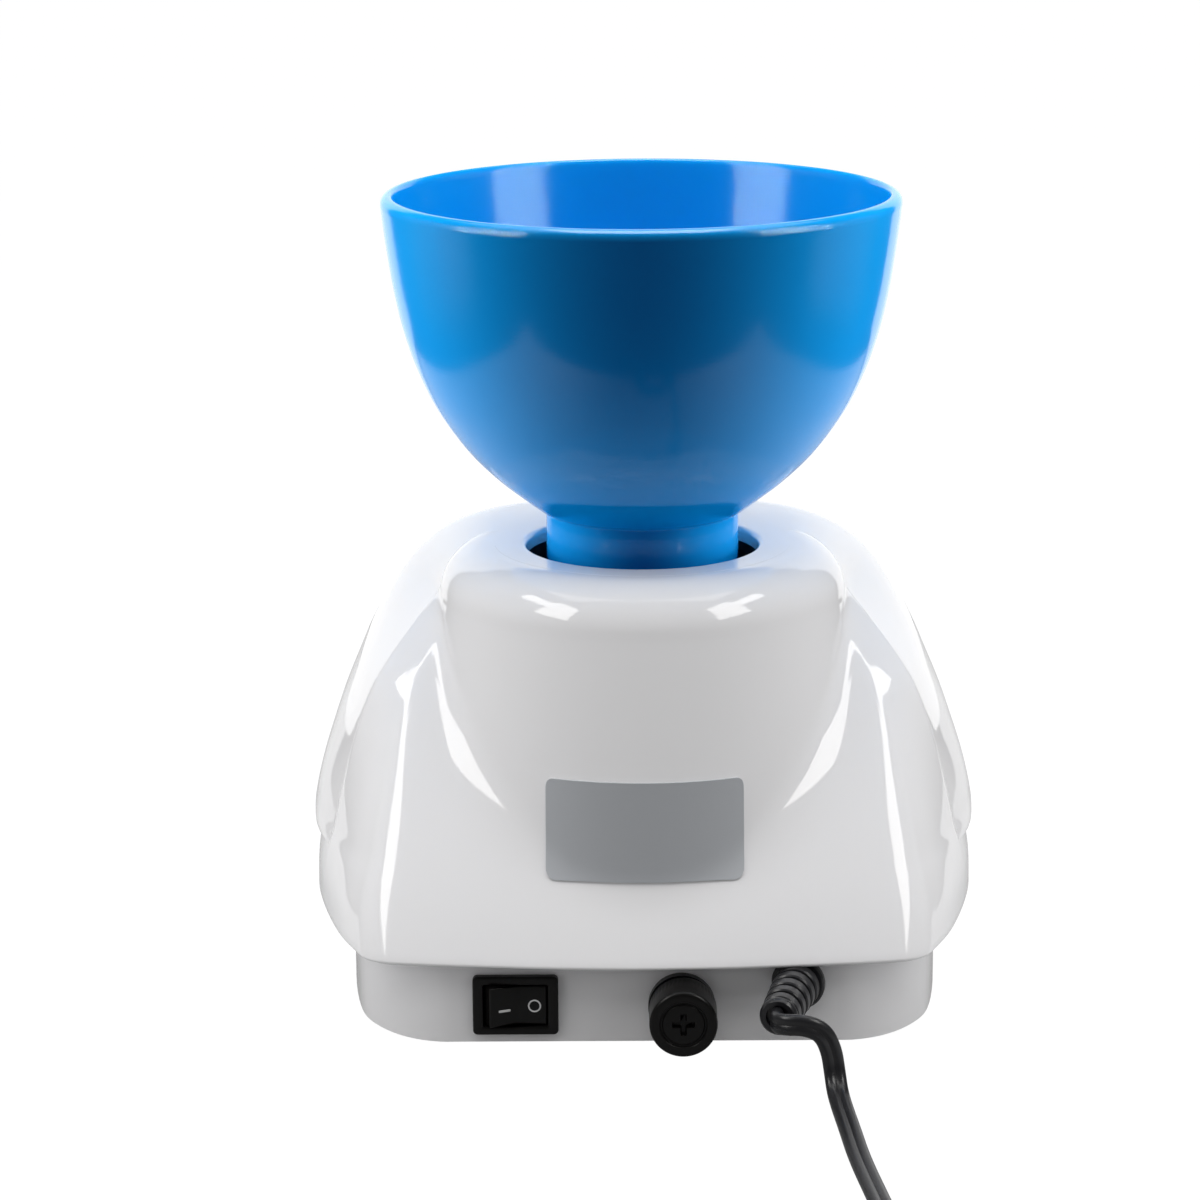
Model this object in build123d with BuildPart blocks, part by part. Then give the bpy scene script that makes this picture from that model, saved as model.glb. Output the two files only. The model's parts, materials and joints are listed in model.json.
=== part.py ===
from build123d import *
import math
import os

# Bench mixer for dental impression material: a flexible bowl turned by a motor in a moulded housing.
# Millimetres. +Z up, z = 0 is the bench. The back of the housing (switch, fuse, cord) faces +Y,
# the operator's side faces -Y. The origin is the middle of the footprint.

# ---------------------------------------------------------------- driving dimensions
AY = 10.0            # the spindle stands this far behind the middle of the footprint
Z_FOOT = 4.0         # rubber feet
Z_LIP = 25.3         # lower edge of the housing's skirt
Z_WING = 41.5        # lower edge of the front hood
Z_TOP = 115.4        # top face of the housing
WALL = 2.5           # moulded wall
SEAM = 20.0          # the front and rear shells meet on this plane, behind the spindle

R_WELL = 29.5        # opening the bowl's foot stands in
R_FLAT = 43.0        # flat part of the top
R_EDGE = 8.0         # rounded edge from the top into the tower
TOWER_SLOPE = 0.15   # the tower widens by this much per millimetre down

BOWL_RIM_Z = 204.8
BOWL_RIM_R = 65.0
FOOT_R = 24.4
FOOT_Z = 110.4

SHAFT_R = 5.0
BEAR_R = 13.0
PULLEY_BIG = 30.0
PULLEY_SMALL = 10.0
MOTOR_Y = -49.0      # motor axis, measured from the spindle
Z_PLATE = 68.0
T_PLATE = 2.5

BASE_Y = 63.0        # outer face of the tray's rear wall, measured from the spindle
SW_X, SW_Z = 31.9, 13.9
FUSE_X, FUSE_Z = -8.8, 13.5
GLAND_X, GLAND_Z = -36.3, 19.3

CORD_D = 5.0
COIL_X, COIL_Y = -22.0, 230.0
COIL_R = 30.0        # middle of the turns
COIL_BUNDLE = 16.0   # width of the bundle of turns
COIL_H = 13.0

PANEL_TILT = 26.0    # the operator panel leans back by this many degrees
PANEL_Z = 73.0
PANEL_Y = -81.6      # from the spindle

os.makedirs("parts", exist_ok=True)


# ---------------------------------------------------------------- helpers
def interp(table, z):
    """Smooth interpolation in a table of (z, value) pairs."""
    n = len(table)
    if z <= table[0][0]:
        return table[0][1]
    if z >= table[-1][0]:
        return table[-1][1]
    slopes = []
    for i in range(n):
        a, b = max(0, i - 1), min(n - 1, i + 1)
        slopes.append((table[b][1] - table[a][1]) / (table[b][0] - table[a][0]))
    for i in range(n - 1):
        z0, v0 = table[i]
        z1, v1 = table[i + 1]
        if z <= z1:
            h = z1 - z0
            t = (z - z0) / h
            return (
                (2 * t**3 - 3 * t**2 + 1) * v0
                + (t**3 - 2 * t**2 + t) * h * slopes[i]
                + (-2 * t**3 + 3 * t**2) * v1
                + (t**3 - t**2) * h * slopes[i + 1]
            )
    return table[-1][1]


def both_sides(half):
    """Closed outline from its right half, listed from the rear middle to the front middle."""
    left = [(-x, y) for x, y in reversed(half) if x > 1e-6]
    return list(half) + left


def inset(points, amount):
    """Closed outline moved inwards by amount along its normals; the outline runs clockwise."""
    n = len(points)
    out = []
    for i in range(n):
        x0, y0 = points[i - 1]
        x1, y1 = points[(i + 1) % n]
        dx, dy = x1 - x0, y1 - y0
        ln = math.hypot(dx, dy)
        out.append((points[i][0] + amount * dy / ln, points[i][1] - amount * dx / ln))
    return out


# outline of the skirt's lower edge, right half, measured from the spindle
LIP = [
    (0, 71.0), (22, 70.2), (42, 68.3), (56, 66.7), (64.5, 65.0), (69.2, 61.6), (71.6, 56.4),
    (75.6, 46.0), (79.0, 33.5), (81.7, 21.0), (83.8, 8.0), (84.9, -6.0), (85.2, -22.0),
    (84.2, -40.0), (80.5, -58.0), (72.5, -74.0), (58.0, -86.0), (38.0, -92.0), (19.0, -93.8),
    (0, -94.2),
]
HOOD_X = [(25.3, 1.0), (33.5, 1.0), (41.5, 0.982), (50, 0.957), (60, 0.93), (72, 0.89), (84, 0.826), (91, 0.775), (98, 0.71)]


def hood_y(z):
    t = z - Z_LIP
    return 1 - 0.0085 * t - 0.00004 * t * t


def hood_section(z, thin=0.0):
    sx, sy = interp(HOOD_X, z), hood_y(z)
    pts = [(x * sx, y * (sy if y > 0 else sx)) for x, y in LIP]
    pts = both_sides(pts)
    if thin:
        pts = inset(pts, thin)
    return [(x, y + AY) for x, y in pts]


# front hood: half-width, place of the widest point, front reach and rear fullness at each height
WING_A = [
    (41.5, 86.8), (48.8, 85.3), (56, 83.4), (63, 81.1), (70.6, 78.4), (78.3, 75.1), (86, 71.7),
    (93.9, 67.3), (97.8, 64.9), (101.7, 61.9), (105.6, 58.3), (109.4, 53.9), (113.3, 48.4), (115.4, 45.0),
]
WING_C = [(41.5, 0.0), (56, -12), (70.6, -22), (86, -30), (97.8, -34), (109.4, -34), (115.4, -20)]
WING_F = [(41.5, 96.0), (50, 94.6), (60, 91.6), (70, 87.6), (80, 82.4), (90, 76.4), (98, 71), (104, 66.3), (109.4, 61.5), (113.3, 57.6), (115.4, 54.5)]
WING_B = [(41.5, 56), (54, 72), (74, 105), (91, 108), (102, 100), (109.4, 92), (115.4, 66)]


def wing_section(z, thin=0.0, at=None):
    a, c, f, b = interp(WING_A, z), interp(WING_C, z), interp(WING_F, z), interp(WING_B, z)
    pts = []
    n = 10
    for i in range(n):  # rear part, from the rear middle to the widest point
        u = math.pi / 2 * (1 - i / n)
        x = a * math.cos(u) ** (2 / 2.2)
        y = c + b * math.sin(u) ** (2 / 2.2)
        pts.append((x, y))
    for i in range(n + 1):  # front part
        u = math.pi / 2 * (i / n)
        x = a * math.cos(u) ** (2 / 3.0) if i < n else 0.0
        y = c - (f + c) * math.sin(u) ** (2 / 3.0)
        pts.append((x, y))
    pts[0] = (0.0, c + b)
    pts = both_sides(pts)
    if thin:
        pts = inset(pts, thin)
    return [(x, y + AY) for x, y in pts]


def tower_r(z):
    zf = Z_TOP - R_EDGE
    if z > zf:
        return R_FLAT + math.sqrt(max(0.0, R_EDGE**2 - (z - zf) ** 2))
    return R_FLAT + R_EDGE + TOWER_SLOPE * (zf - z)


# outline of the tray's right half, after the flat rear wall
TRAY = [
    (47, BASE_Y), (54, 62.0), (61.8, 57.0), (66.4, 51.3), (69.5, 45.4), (71.3, 39.0), (72.5, 32.0),
    (73.9, 20.0), (74.9, 5.0), (75.3, -20.0), (74.1, -44.0), (69.7, -62.0), (60.0, -75.0),
    (42.0, -82.5), (20.0, -84.8), (0, -85.2),
]


def tray_points(thin=0.0):
    pts = both_sides(TRAY)
    if thin:
        full = inset(pts, thin)
        full[0] = (47 - 0.2 * thin, BASE_Y - thin)
        full[-1] = (-47 + 0.2 * thin, BASE_Y - thin)
        pts = full
    return [(x, y + AY) for x, y in pts]


TRAY_OUT = tray_points()
TRAY_IN = tray_points(WALL)


def at_spindle(z=0.0):
    return Plane(origin=(0, AY, z), x_dir=(1, 0, 0), z_dir=(0, 0, 1))


PANEL = Plane(
    origin=(0, AY + PANEL_Y, PANEL_Z),
    x_dir=(1, 0, 0),
    z_dir=(0, -math.cos(math.radians(PANEL_TILT)), math.sin(math.radians(PANEL_TILT))),
)
# rear wall plane: x runs to -X, y up, z outwards
REAR = Plane(origin=(0, AY + BASE_Y, 0), x_dir=(-1, 0, 0), z_dir=(0, 1, 0))

SPINDLE_XZ = Plane(origin=(0, AY, 0), x_dir=(1, 0, 0), z_dir=(0, -1, 0))
SPINDLE_AXIS = Axis((0, AY, 0), (0, 0, 1))

BOSSES = [(63.5, AY + 14), (-63.5, AY + 14), (63.5, AY - 46), (-63.5, AY - 46)]
FEET = [(52, AY + 30), (-52, AY + 30), (52, AY - 58), (-52, AY - 58)]
POSTS = [(44, AY + 12), (-44, AY + 12), (40, AY - 57), (-40, AY - 57)]
BOARD_POSTS = [(28, AY + 1.5), (-28, AY + 1.5), (28, AY + 26.5), (-28, AY + 26.5)]

# ---------------------------------------------------------------- base tray
with BuildPart() as base_tray:
    with BuildSketch(Plane.XY.offset(Z_FOOT)):
        with BuildLine():
            Spline(*TRAY_OUT)
            Line(TRAY_OUT[-1], TRAY_OUT[0])
        make_face()
    extrude(amount=27.0 - Z_FOOT)
    with BuildSketch(Plane.XY.offset(Z_FOOT + WALL)):
        with BuildLine():
            Spline(*TRAY_IN)
            Line(TRAY_IN[-1], TRAY_IN[0])
        make_face()
    extrude(amount=40, mode=Mode.SUBTRACT)
    # stand-offs for the power board
    with BuildSketch(Plane.XY.offset(Z_FOOT + WALL)):
        with Locations(*BOARD_POSTS):
            Circle(3.2)
    extrude(amount=12.0 - Z_FOOT - WALL)
    with BuildSketch(Plane.XY.offset(Z_FOOT + WALL + 1)):
        with Locations(*BOARD_POSTS):
            Circle(1.25)
    extrude(amount=10, mode=Mode.SUBTRACT)
    # screw holes for the housing, the chassis posts and the feet
    with BuildSketch(Plane.XY.offset(Z_FOOT)):
        with Locations(*BOSSES, *POSTS):
            Circle(1.6)
    extrude(amount=WALL, mode=Mode.SUBTRACT)
    with BuildSketch(Plane.XY.offset(Z_FOOT)):
        with Locations(*FEET):
            Circle(1.5)
    extrude(amount=WALL, mode=Mode.SUBTRACT)
    # rear wall cut-outs: switch, fuse holder, strain relief
    with BuildSketch(REAR.offset(-WALL - 1)):
        with Locations((-SW_X, SW_Z)):
            Rectangle(19.2, 12.9)
        with Locations((-FUSE_X, FUSE_Z)):
            Circle(6.3)
        with Locations((-GLAND_X, GLAND_Z)):
            Circle(4.6)
    extrude(amount=WALL + 2, mode=Mode.SUBTRACT)
    # cooling slots in the floor under the motor
    with BuildSketch(Plane.XY.offset(Z_FOOT)):
        with Locations((0, AY - 40), (0, AY - 46), (0, AY - 52), (0, AY - 58), (0, AY - 64)):
            SlotOverall(34, 2.6)
    extrude(amount=WALL, mode=Mode.SUBTRACT)
base_tray.part.label = "base_tray"
export_step(base_tray.part, "parts/base_tray.step")

with BuildPart() as foot_pads:
    with BuildSketch(Plane.XY):
        with Locations(*FEET):
            Circle(8)
    extrude(amount=Z_FOOT)
    chamfer(foot_pads.faces().sort_by(Axis.Z)[0:4].edges(), 0.8)
    with BuildSketch(Plane.XY):
        with Locations(*FEET):
            Circle(3.4)
    extrude(amount=2.4, mode=Mode.SUBTRACT)
    with BuildSketch(Plane.XY):
        with Locations(*FEET):
            Circle(1.5)
    extrude(amount=Z_FOOT, mode=Mode.SUBTRACT)
foot_pads.part.label = "foot_pads"
export_step(foot_pads.part, "parts/foot_pads.step")

with BuildPart() as foot_screws:
    with BuildSketch(Plane.XY.offset(1.0)):
        with Locations(*FEET):
            Circle(3.0)
    extrude(amount=1.4)
    with BuildSketch(Plane.XY.offset(2.4)):
        with Locations(*FEET):
            Circle(1.5)
    extrude(amount=6.6)
    with BuildSketch(Plane.XY.offset(1.0)):
        with Locations(*FEET):
            Rectangle(3.6, 0.7)
            Rectangle(0.7, 3.6)
    extrude(amount=0.8, mode=Mode.SUBTRACT)
foot_screws.part.label = "foot_screws"
export_step(foot_screws.part, "parts/foot_screws.step")

# ---------------------------------------------------------------- rear shell: tower, rear hood and skirt
HOOD_LEVELS = [Z_LIP, 33.5, Z_WING, 50, 60, 72, 84, 96]
with BuildPart() as rear_housing:
    for level in HOOD_LEVELS:
        with BuildSketch(Plane.XY.offset(level)):
            with BuildLine():
                Spline(*hood_section(level), periodic=True)
            make_face()
    loft()
    # above the skirt only the rear half belongs to this shell
    with BuildSketch(Plane.XY.offset(Z_WING)):
        with Locations((0, AY + SEAM - 100)):
            Rectangle(220, 200)
    extrude(amount=100, mode=Mode.SUBTRACT)
    # the tower around the spindle
    with BuildSketch(SPINDLE_XZ):
        with BuildLine():
            Polyline(
                (0, Z_TOP), (R_FLAT, Z_TOP),
            )
            RadiusArc((R_FLAT, Z_TOP), (R_FLAT + R_EDGE, Z_TOP - R_EDGE), R_EDGE)
            Polyline((R_FLAT + R_EDGE, Z_TOP - R_EDGE), (tower_r(34), 34), (0, 34), (0, Z_TOP))
        make_face()
    revolve(axis=SPINDLE_AXIS, revolution_arc=360)
    with BuildSketch(Plane.XY.offset(Z_WING)):
        with Locations((0, AY + SEAM - 100)):
            Rectangle(220, 200)
    extrude(amount=100, mode=Mode.SUBTRACT)
    # hollow it, leaving a flange that rests on the tray's rim
    with BuildSketch(Plane.XY.offset(20)):
        with BuildLine():
            Spline(*hood_section(Z_LIP, WALL), periodic=True)
        make_face()
    extrude(amount=7.0, mode=Mode.SUBTRACT)
    with BuildSketch(Plane.XY.offset(26.0)):
        with Locations((0, AY - 11)):
            RectangleRounded(119, 126, 26)
    extrude(amount=5, mode=Mode.SUBTRACT)
    for level in [29.5, 33.5, Z_WING, 50, 60, 72, 84, 93.5]:
        with BuildSketch(Plane.XY.offset(level)):
            with BuildLine():
                Spline(*hood_section(level, WALL), periodic=True)
            make_face()
    loft(mode=Mode.SUBTRACT)
    with BuildSketch(SPINDLE_XZ):
        with BuildLine():
            Polyline(
                (0, Z_TOP - WALL), (R_FLAT, Z_TOP - WALL),
                (R_FLAT + R_EDGE - WALL - 1.8, Z_TOP - WALL - 1.8),
                (R_FLAT + R_EDGE - WALL, Z_TOP - R_EDGE),
                (tower_r(33) - WALL, 33), (0, 33), (0, Z_TOP - WALL),
            )
        make_face()
    revolve(axis=SPINDLE_AXIS, revolution_arc=360, mode=Mode.SUBTRACT)
    # the deck ring sits in the top
    with BuildSketch(at_spindle(Z_TOP - WALL - 1)):
        Circle(R_FLAT)
    extrude(amount=10, mode=Mode.SUBTRACT)
    # screw bosses
    with BuildSketch(Plane.XY.offset(Z_FOOT + WALL)):
        with Locations(*BOSSES):
            Circle(4.0)
    extrude(amount=29.5 - Z_FOOT - WALL)
    with BuildSketch(Plane.XY.offset(Z_FOOT + WALL)):
        with Locations(*BOSSES):
            Circle(1.6)
    extrude(amount=14, mode=Mode.SUBTRACT)
rear_housing.part.label = "rear_housing"
export_step(rear_housing.part, "parts/rear_housing.step")
print("rear_housing solids", len(rear_housing.part.solids()), round(rear_housing.part.volume))

# ---------------------------------------------------------------- front hood
WING_LEVELS = [Z_WING, 50, 60, 70.6, 80, 90, 97.8, 104, 109.4, 113.3, Z_TOP]
# the rear shell's outer shape where the front hood's end wall meets it
with BuildPart() as seam_opening:
    for level in HOOD_LEVELS:
        with BuildSketch(Plane.XY.offset(level)):
            with BuildLine():
                Spline(*hood_section(level), periodic=True)
            make_face()
    loft()
    with BuildSketch(SPINDLE_XZ):
        with BuildLine():
            Polyline((0, Z_TOP), (R_FLAT, Z_TOP))
            RadiusArc((R_FLAT, Z_TOP), (R_FLAT + R_EDGE, Z_TOP - R_EDGE), R_EDGE)
            Polyline((R_FLAT + R_EDGE, Z_TOP - R_EDGE), (tower_r(34), 34), (0, 34), (0, Z_TOP))
        make_face()
    revolve(axis=SPINDLE_AXIS, revolution_arc=360)
    with BuildSketch(Plane.XY):
        with Locations((0, AY + SEAM - WALL / 2)):
            Rectangle(220, WALL)
    extrude(amount=130, mode=Mode.INTERSECT)

HOOD_BOSSES = [(46, AY - 12), (-46, AY - 12), (34, AY - 46), (-34, AY - 46)]
with BuildPart() as hood_cavity:
    for level in [Z_WING + 2, 50, 60, 70.6, 80, 90, 97.8, 104, 109.4, Z_TOP - WALL]:
        with BuildSketch(Plane.XY.offset(level)):
            with BuildLine():
                Spline(
                    *wing_section(min(max(level, Z_WING), Z_TOP - 1.4), WALL if level < 105 else WALL + 1.2),
                    periodic=True,
                )
            make_face()
    loft()
    with BuildSketch(PANEL.offset(-WALL)):
        Rectangle(260, 260)
    extrude(amount=60, mode=Mode.SUBTRACT)
    # end wall against the rear shell, and bosses down to the chassis plate
    with BuildSketch(Plane.XY.offset(Z_WING - 5)):
        with Locations((0, AY + SEAM - WALL + 100)):
            Rectangle(260, 200)
    extrude(amount=100, mode=Mode.SUBTRACT)
    with BuildSketch(Plane.XY.offset(Z_PLATE + T_PLATE)):
        with Locations(*HOOD_BOSSES):
            Circle(4.0)
    extrude(amount=60, mode=Mode.SUBTRACT)

with BuildPart() as front_hood:
    for level in WING_LEVELS:
        with BuildSketch(Plane.XY.offset(level)):
            with BuildLine():
                Spline(*wing_section(level), periodic=True)
            make_face()
    loft()
    # flat facet for the operator panel
    with BuildSketch(PANEL):
        Rectangle(260, 260)
    extrude(amount=60, mode=Mode.SUBTRACT)
    add(hood_cavity.part, mode=Mode.SUBTRACT)
    # a flange along the lower edge stands on the skirt
    with BuildSketch(Plane.XY.offset(Z_WING)):
        with BuildLine():
            Spline(*hood_section(Z_WING, WALL), periodic=True)
        make_face()
        with Locations((0, AY + SEAM - WALL + 100)):
            Rectangle(260, 200, mode=Mode.SUBTRACT)
    extrude(amount=2.0, mode=Mode.SUBTRACT)
    add(seam_opening.part, mode=Mode.SUBTRACT)
    # only in front of the seam, and open for the deck ring
    with BuildSketch(Plane.XY.offset(Z_WING - 5)):
        with Locations((0, AY + SEAM + 100)):
            Rectangle(260, 200)
    extrude(amount=100, mode=Mode.SUBTRACT)
    with BuildSketch(at_spindle(100)):
        Circle(R_FLAT)
    extrude(amount=30, mode=Mode.SUBTRACT)
    # window behind the panel for the display and the keys
    with BuildSketch(PANEL.offset(-10)):
        RectangleRounded(73, 35, 4)
    extrude(amount=12, mode=Mode.SUBTRACT)
    with BuildSketch(Plane.XY.offset(Z_PLATE + T_PLATE)):
        with Locations(*HOOD_BOSSES):
            Circle(1.6)
    extrude(amount=12, mode=Mode.SUBTRACT)
front_hood.part.label = "front_hood"
export_step(front_hood.part, "parts/front_hood.step")
print("front_hood solids", len(front_hood.part.solids()), round(front_hood.part.volume))

# ---------------------------------------------------------------- deck ring and the well under it
with BuildPart() as top_deck:
    with BuildSketch(SPINDLE_XZ):
        with BuildLine():
            Polyline(
                (R_WELL, Z_TOP - WALL), (R_FLAT, Z_TOP - WALL), (R_FLAT, Z_TOP), (R_WELL + 1.2, Z_TOP)
            )
            RadiusArc((R_WELL + 1.2, Z_TOP), (R_WELL, Z_TOP - 1.2), -1.2)
            Line((R_WELL, Z_TOP - 1.2), (R_WELL, Z_TOP - WALL))
        make_face()
    revolve(axis=SPINDLE_AXIS, revolution_arc=360)
top_deck.part.label = "top_deck"
export_step(top_deck.part, "parts/top_deck.step")

with BuildPart() as well_cup:
    with BuildSketch(SPINDLE_XZ):
        with BuildLine():
            Polyline(
                (7.0, 94.0), (32.0, 94.0), (32.0, Z_TOP - WALL), (29.8, Z_TOP - WALL),
                (29.8, 96.2), (10.6, 96.2), (10.6, 97.6), (7.0, 97.6), (7.0, 94.0),
            )
        make_face()
    revolve(axis=SPINDLE_AXIS, revolution_arc=360)
well_cup.part.label = "well_cup"
export_step(well_cup.part, "parts/well_cup.step")

# ---------------------------------------------------------------- chassis
with BuildPart() as chassis_plate:
    with BuildSketch(Plane.XY.offset(Z_PLATE)):
        with Locations((0, AY - 21)):
            RectangleRounded(104, 90, 10)
        with Locations((0, AY)):
            Circle(14.0, mode=Mode.SUBTRACT)
            with PolarLocations(24, 4, start_angle=45):
                Circle(1.6, mode=Mode.SUBTRACT)
        with Locations((0, AY + MOTOR_Y)):
            Circle(8.0, mode=Mode.SUBTRACT)
            with GridLocations(28, 0, 2, 1):
                Circle(1.6, mode=Mode.SUBTRACT)
        with Locations(*POSTS, *HOOD_BOSSES):
            Circle(1.6, mode=Mode.SUBTRACT)
    extrude(amount=T_PLATE)
chassis_plate.part.label = "chassis_plate"
export_step(chassis_plate.part, "parts/chassis_plate.step")

with BuildPart() as chassis_posts:
    with BuildSketch(Plane.XY.offset(Z_FOOT + WALL)):
        with Locations(*POSTS):
            RegularPolygon(5.0, 6)
    extrude(amount=Z_PLATE - Z_FOOT - WALL)
    with BuildSketch(Plane.XY.offset(Z_FOOT + WALL)):
        with Locations(*POSTS):
            Circle(1.6)
    extrude(amount=Z_PLATE, mode=Mode.SUBTRACT)
chassis_posts.part.label = "chassis_posts"
export_step(chassis_posts.part, "parts/chassis_posts.step")

with BuildPart() as chassis_screws:
    with BuildSketch(Plane.XY.offset(Z_PLATE + T_PLATE)):
        with Locations(*POSTS):
            Circle(3.2)
    extrude(amount=2.2)
    with BuildSketch(Plane.XY.offset(Z_PLATE - 8)):
        with Locations(*POSTS):
            Circle(1.6)
    extrude(amount=8 + T_PLATE)
    with BuildSketch(Plane.XY.offset(Z_PLATE + T_PLATE + 1.2)):
        with Locations(*POSTS):
            Rectangle(4.0, 0.8)
            Rectangle(0.8, 4.0)
    extrude(amount=2, mode=Mode.SUBTRACT)
chassis_screws.part.label = "chassis_screws"
export_step(chassis_screws.part, "parts/chassis_screws.step")

with BuildPart() as hood_screws:
    with BuildSketch(Plane.XY.offset(Z_PLATE - 2.0)):
        with Locations(*HOOD_BOSSES):
            Circle(3.0)
    extrude(amount=2.0)
    with BuildSketch(Plane.XY.offset(Z_PLATE)):
        with Locations(*HOOD_BOSSES):
            Circle(1.6)
    extrude(amount=11.0)
hood_screws.part.label = "hood_screws"
export_step(hood_screws.part, "parts/hood_screws.step")

with BuildPart() as base_screws:
    with BuildSketch(Plane.XY.offset(2.2)):
        with Locations(*BOSSES, *POSTS):
            Circle(3.2)
    extrude(amount=1.8)
    with BuildSketch(Plane.XY.offset(4.0)):
        with Locations(*BOSSES, *POSTS):
            Circle(1.6)
    extrude(amount=12)
    with BuildSketch(Plane.XY.offset(2.0)):
        with Locations(*BOSSES, *POSTS):
            Rectangle(4.0, 0.8)
            Rectangle(0.8, 4.0)
    extrude(amount=1.2, mode=Mode.SUBTRACT)
base_screws.part.label = "base_screws"
export_step(base_screws.part, "parts/base_screws.step")

# ---------------------------------------------------------------- spindle
with BuildPart() as bearing_housing:
    with BuildSketch(SPINDLE_XZ):
        with BuildLine():
            Polyline(
                (9.0, 36.0), (17.0, 36.0), (17.0, 62.0), (19.0, 64.0), (29.0, 64.0), (29.0, Z_PLATE),
                (BEAR_R, Z_PLATE), (BEAR_R, 38.0), (9.0, 38.0), (9.0, 36.0),
            )
        make_face()
    revolve(axis=SPINDLE_AXIS, revolution_arc=360)
    with BuildSketch(at_spindle(60)):
        with PolarLocations(24, 4, start_angle=45):
            Circle(1.6)
    extrude(amount=10, mode=Mode.SUBTRACT)
bearing_housing.part.label = "bearing_housing"
export_step(bearing_housing.part, "parts/bearing_housing.step")

with BuildPart() as housing_bolts:
    with BuildSketch(at_spindle(Z_PLATE + T_PLATE)):
        with PolarLocations(24, 4, start_angle=45):
            Circle(3.0)
    extrude(amount=1.8)
    with BuildSketch(at_spindle(64.0)):
        with PolarLocations(24, 4, start_angle=45):
            Circle(1.6)
    extrude(amount=4 + T_PLATE)
housing_bolts.part.label = "housing_bolts"
export_step(housing_bolts.part, "parts/housing_bolts.step")

with BuildPart() as ball_bearings:
    for z0 in (38.0, 58.0):
        with BuildSketch(at_spindle(z0)):
            Circle(BEAR_R)
            Circle(SHAFT_R, mode=Mode.SUBTRACT)
        extrude(amount=8)
        with BuildSketch(at_spindle(z0 + 7.2)):
            Circle(11.2)
            Circle(6.8, mode=Mode.SUBTRACT)
        extrude(amount=1, mode=Mode.SUBTRACT)
ball_bearings.part.label = "ball_bearings"
export_step(ball_bearings.part, "parts/ball_bearings.step")

with BuildPart() as spindle_shaft:
    with BuildSketch(SPINDLE_XZ):
        with BuildLine():
            Polyline(
                (0, 33.0), (4.4, 33.0), (4.95, 33.6), (4.95, 34.6), (4.3, 34.6), (4.3, 35.6), (4.95, 35.6),
                (4.95, 117.2), (2.0, 117.2), (2.0, 108.0), (0, 108.0), (0, 33.0),
            )
        make_face()
    revolve(axis=SPINDLE_AXIS, revolution_arc=360)
spindle_shaft.part.label = "spindle_shaft"
export_step(spindle_shaft.part, "parts/spindle_shaft.step")

with BuildPart() as spindle_circlip:
    with BuildSketch(at_spindle(34.6)):
        Circle(7.4)
        Circle(4.3, mode=Mode.SUBTRACT)
        with Locations((0, 6)):
            Rectangle(2.4, 6, mode=Mode.SUBTRACT)
    extrude(amount=1.0)
spindle_circlip.part.label = "spindle_circlip"
export_step(spindle_circlip.part, "parts/spindle_circlip.step")

with BuildPart() as spindle_pulley:
    with BuildSketch(at_spindle(75.5)):
        Circle(PULLEY_BIG)
    extrude(amount=9)
    with BuildSketch(at_spindle(74.5)):
        Circle(PULLEY_BIG + 2)
    extrude(amount=1.0)
    with BuildSketch(at_spindle(84.5)):
        Circle(PULLEY_BIG + 2)
    extrude(amount=1.0)
    with BuildSketch(at_spindle(73.4)):
        Circle(9.5)
    extrude(amount=2)
    # six lightening holes between hub and rim
    with BuildSketch(at_spindle(70)):
        with PolarLocations(19, 6):
            Circle(6.0)
    extrude(amount=20, mode=Mode.SUBTRACT)
    with BuildSketch(at_spindle(70)):
        Circle(4.95)
    extrude(amount=20, mode=Mode.SUBTRACT)
spindle_pulley.part.label = "spindle_pulley"
export_step(spindle_pulley.part, "parts/spindle_pulley.step")

with BuildPart() as drive_hub:
    with BuildSketch(SPINDLE_XZ):
        with BuildLine():
            Polyline((4.95, 98.4), (9.0, 98.4), (9.0, 104.6), (21.4, 104.6), (22.0, 105.2), (22.0, 110.1), (4.95, 110.1), (4.95, 98.4))
        make_face()
    revolve(axis=SPINDLE_AXIS, revolution_arc=360)
    with BuildSketch(at_spindle(110.1)):
        RegularPolygon(10.0, 6, major_radius=False)
        Circle(4.95, mode=Mode.SUBTRACT)
    extrude(amount=7.4)
drive_hub.part.label = "drive_hub"
export_step(drive_hub.part, "parts/drive_hub.step")

with BuildPart() as hub_screw:
    with BuildSketch(at_spindle(117.5)):
        Circle(6.5)
    extrude(amount=1.6)
    with BuildSketch(at_spindle(108.0)):
        Circle(2.0)
    extrude(amount=9.5)
    with BuildSketch(at_spindle(118.2)):
        Rectangle(7, 1.0)
    extrude(amount=2, mode=Mode.SUBTRACT)
hub_screw.part.label = "hub_screw"
export_step(hub_screw.part, "parts/hub_screw.step")

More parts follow.
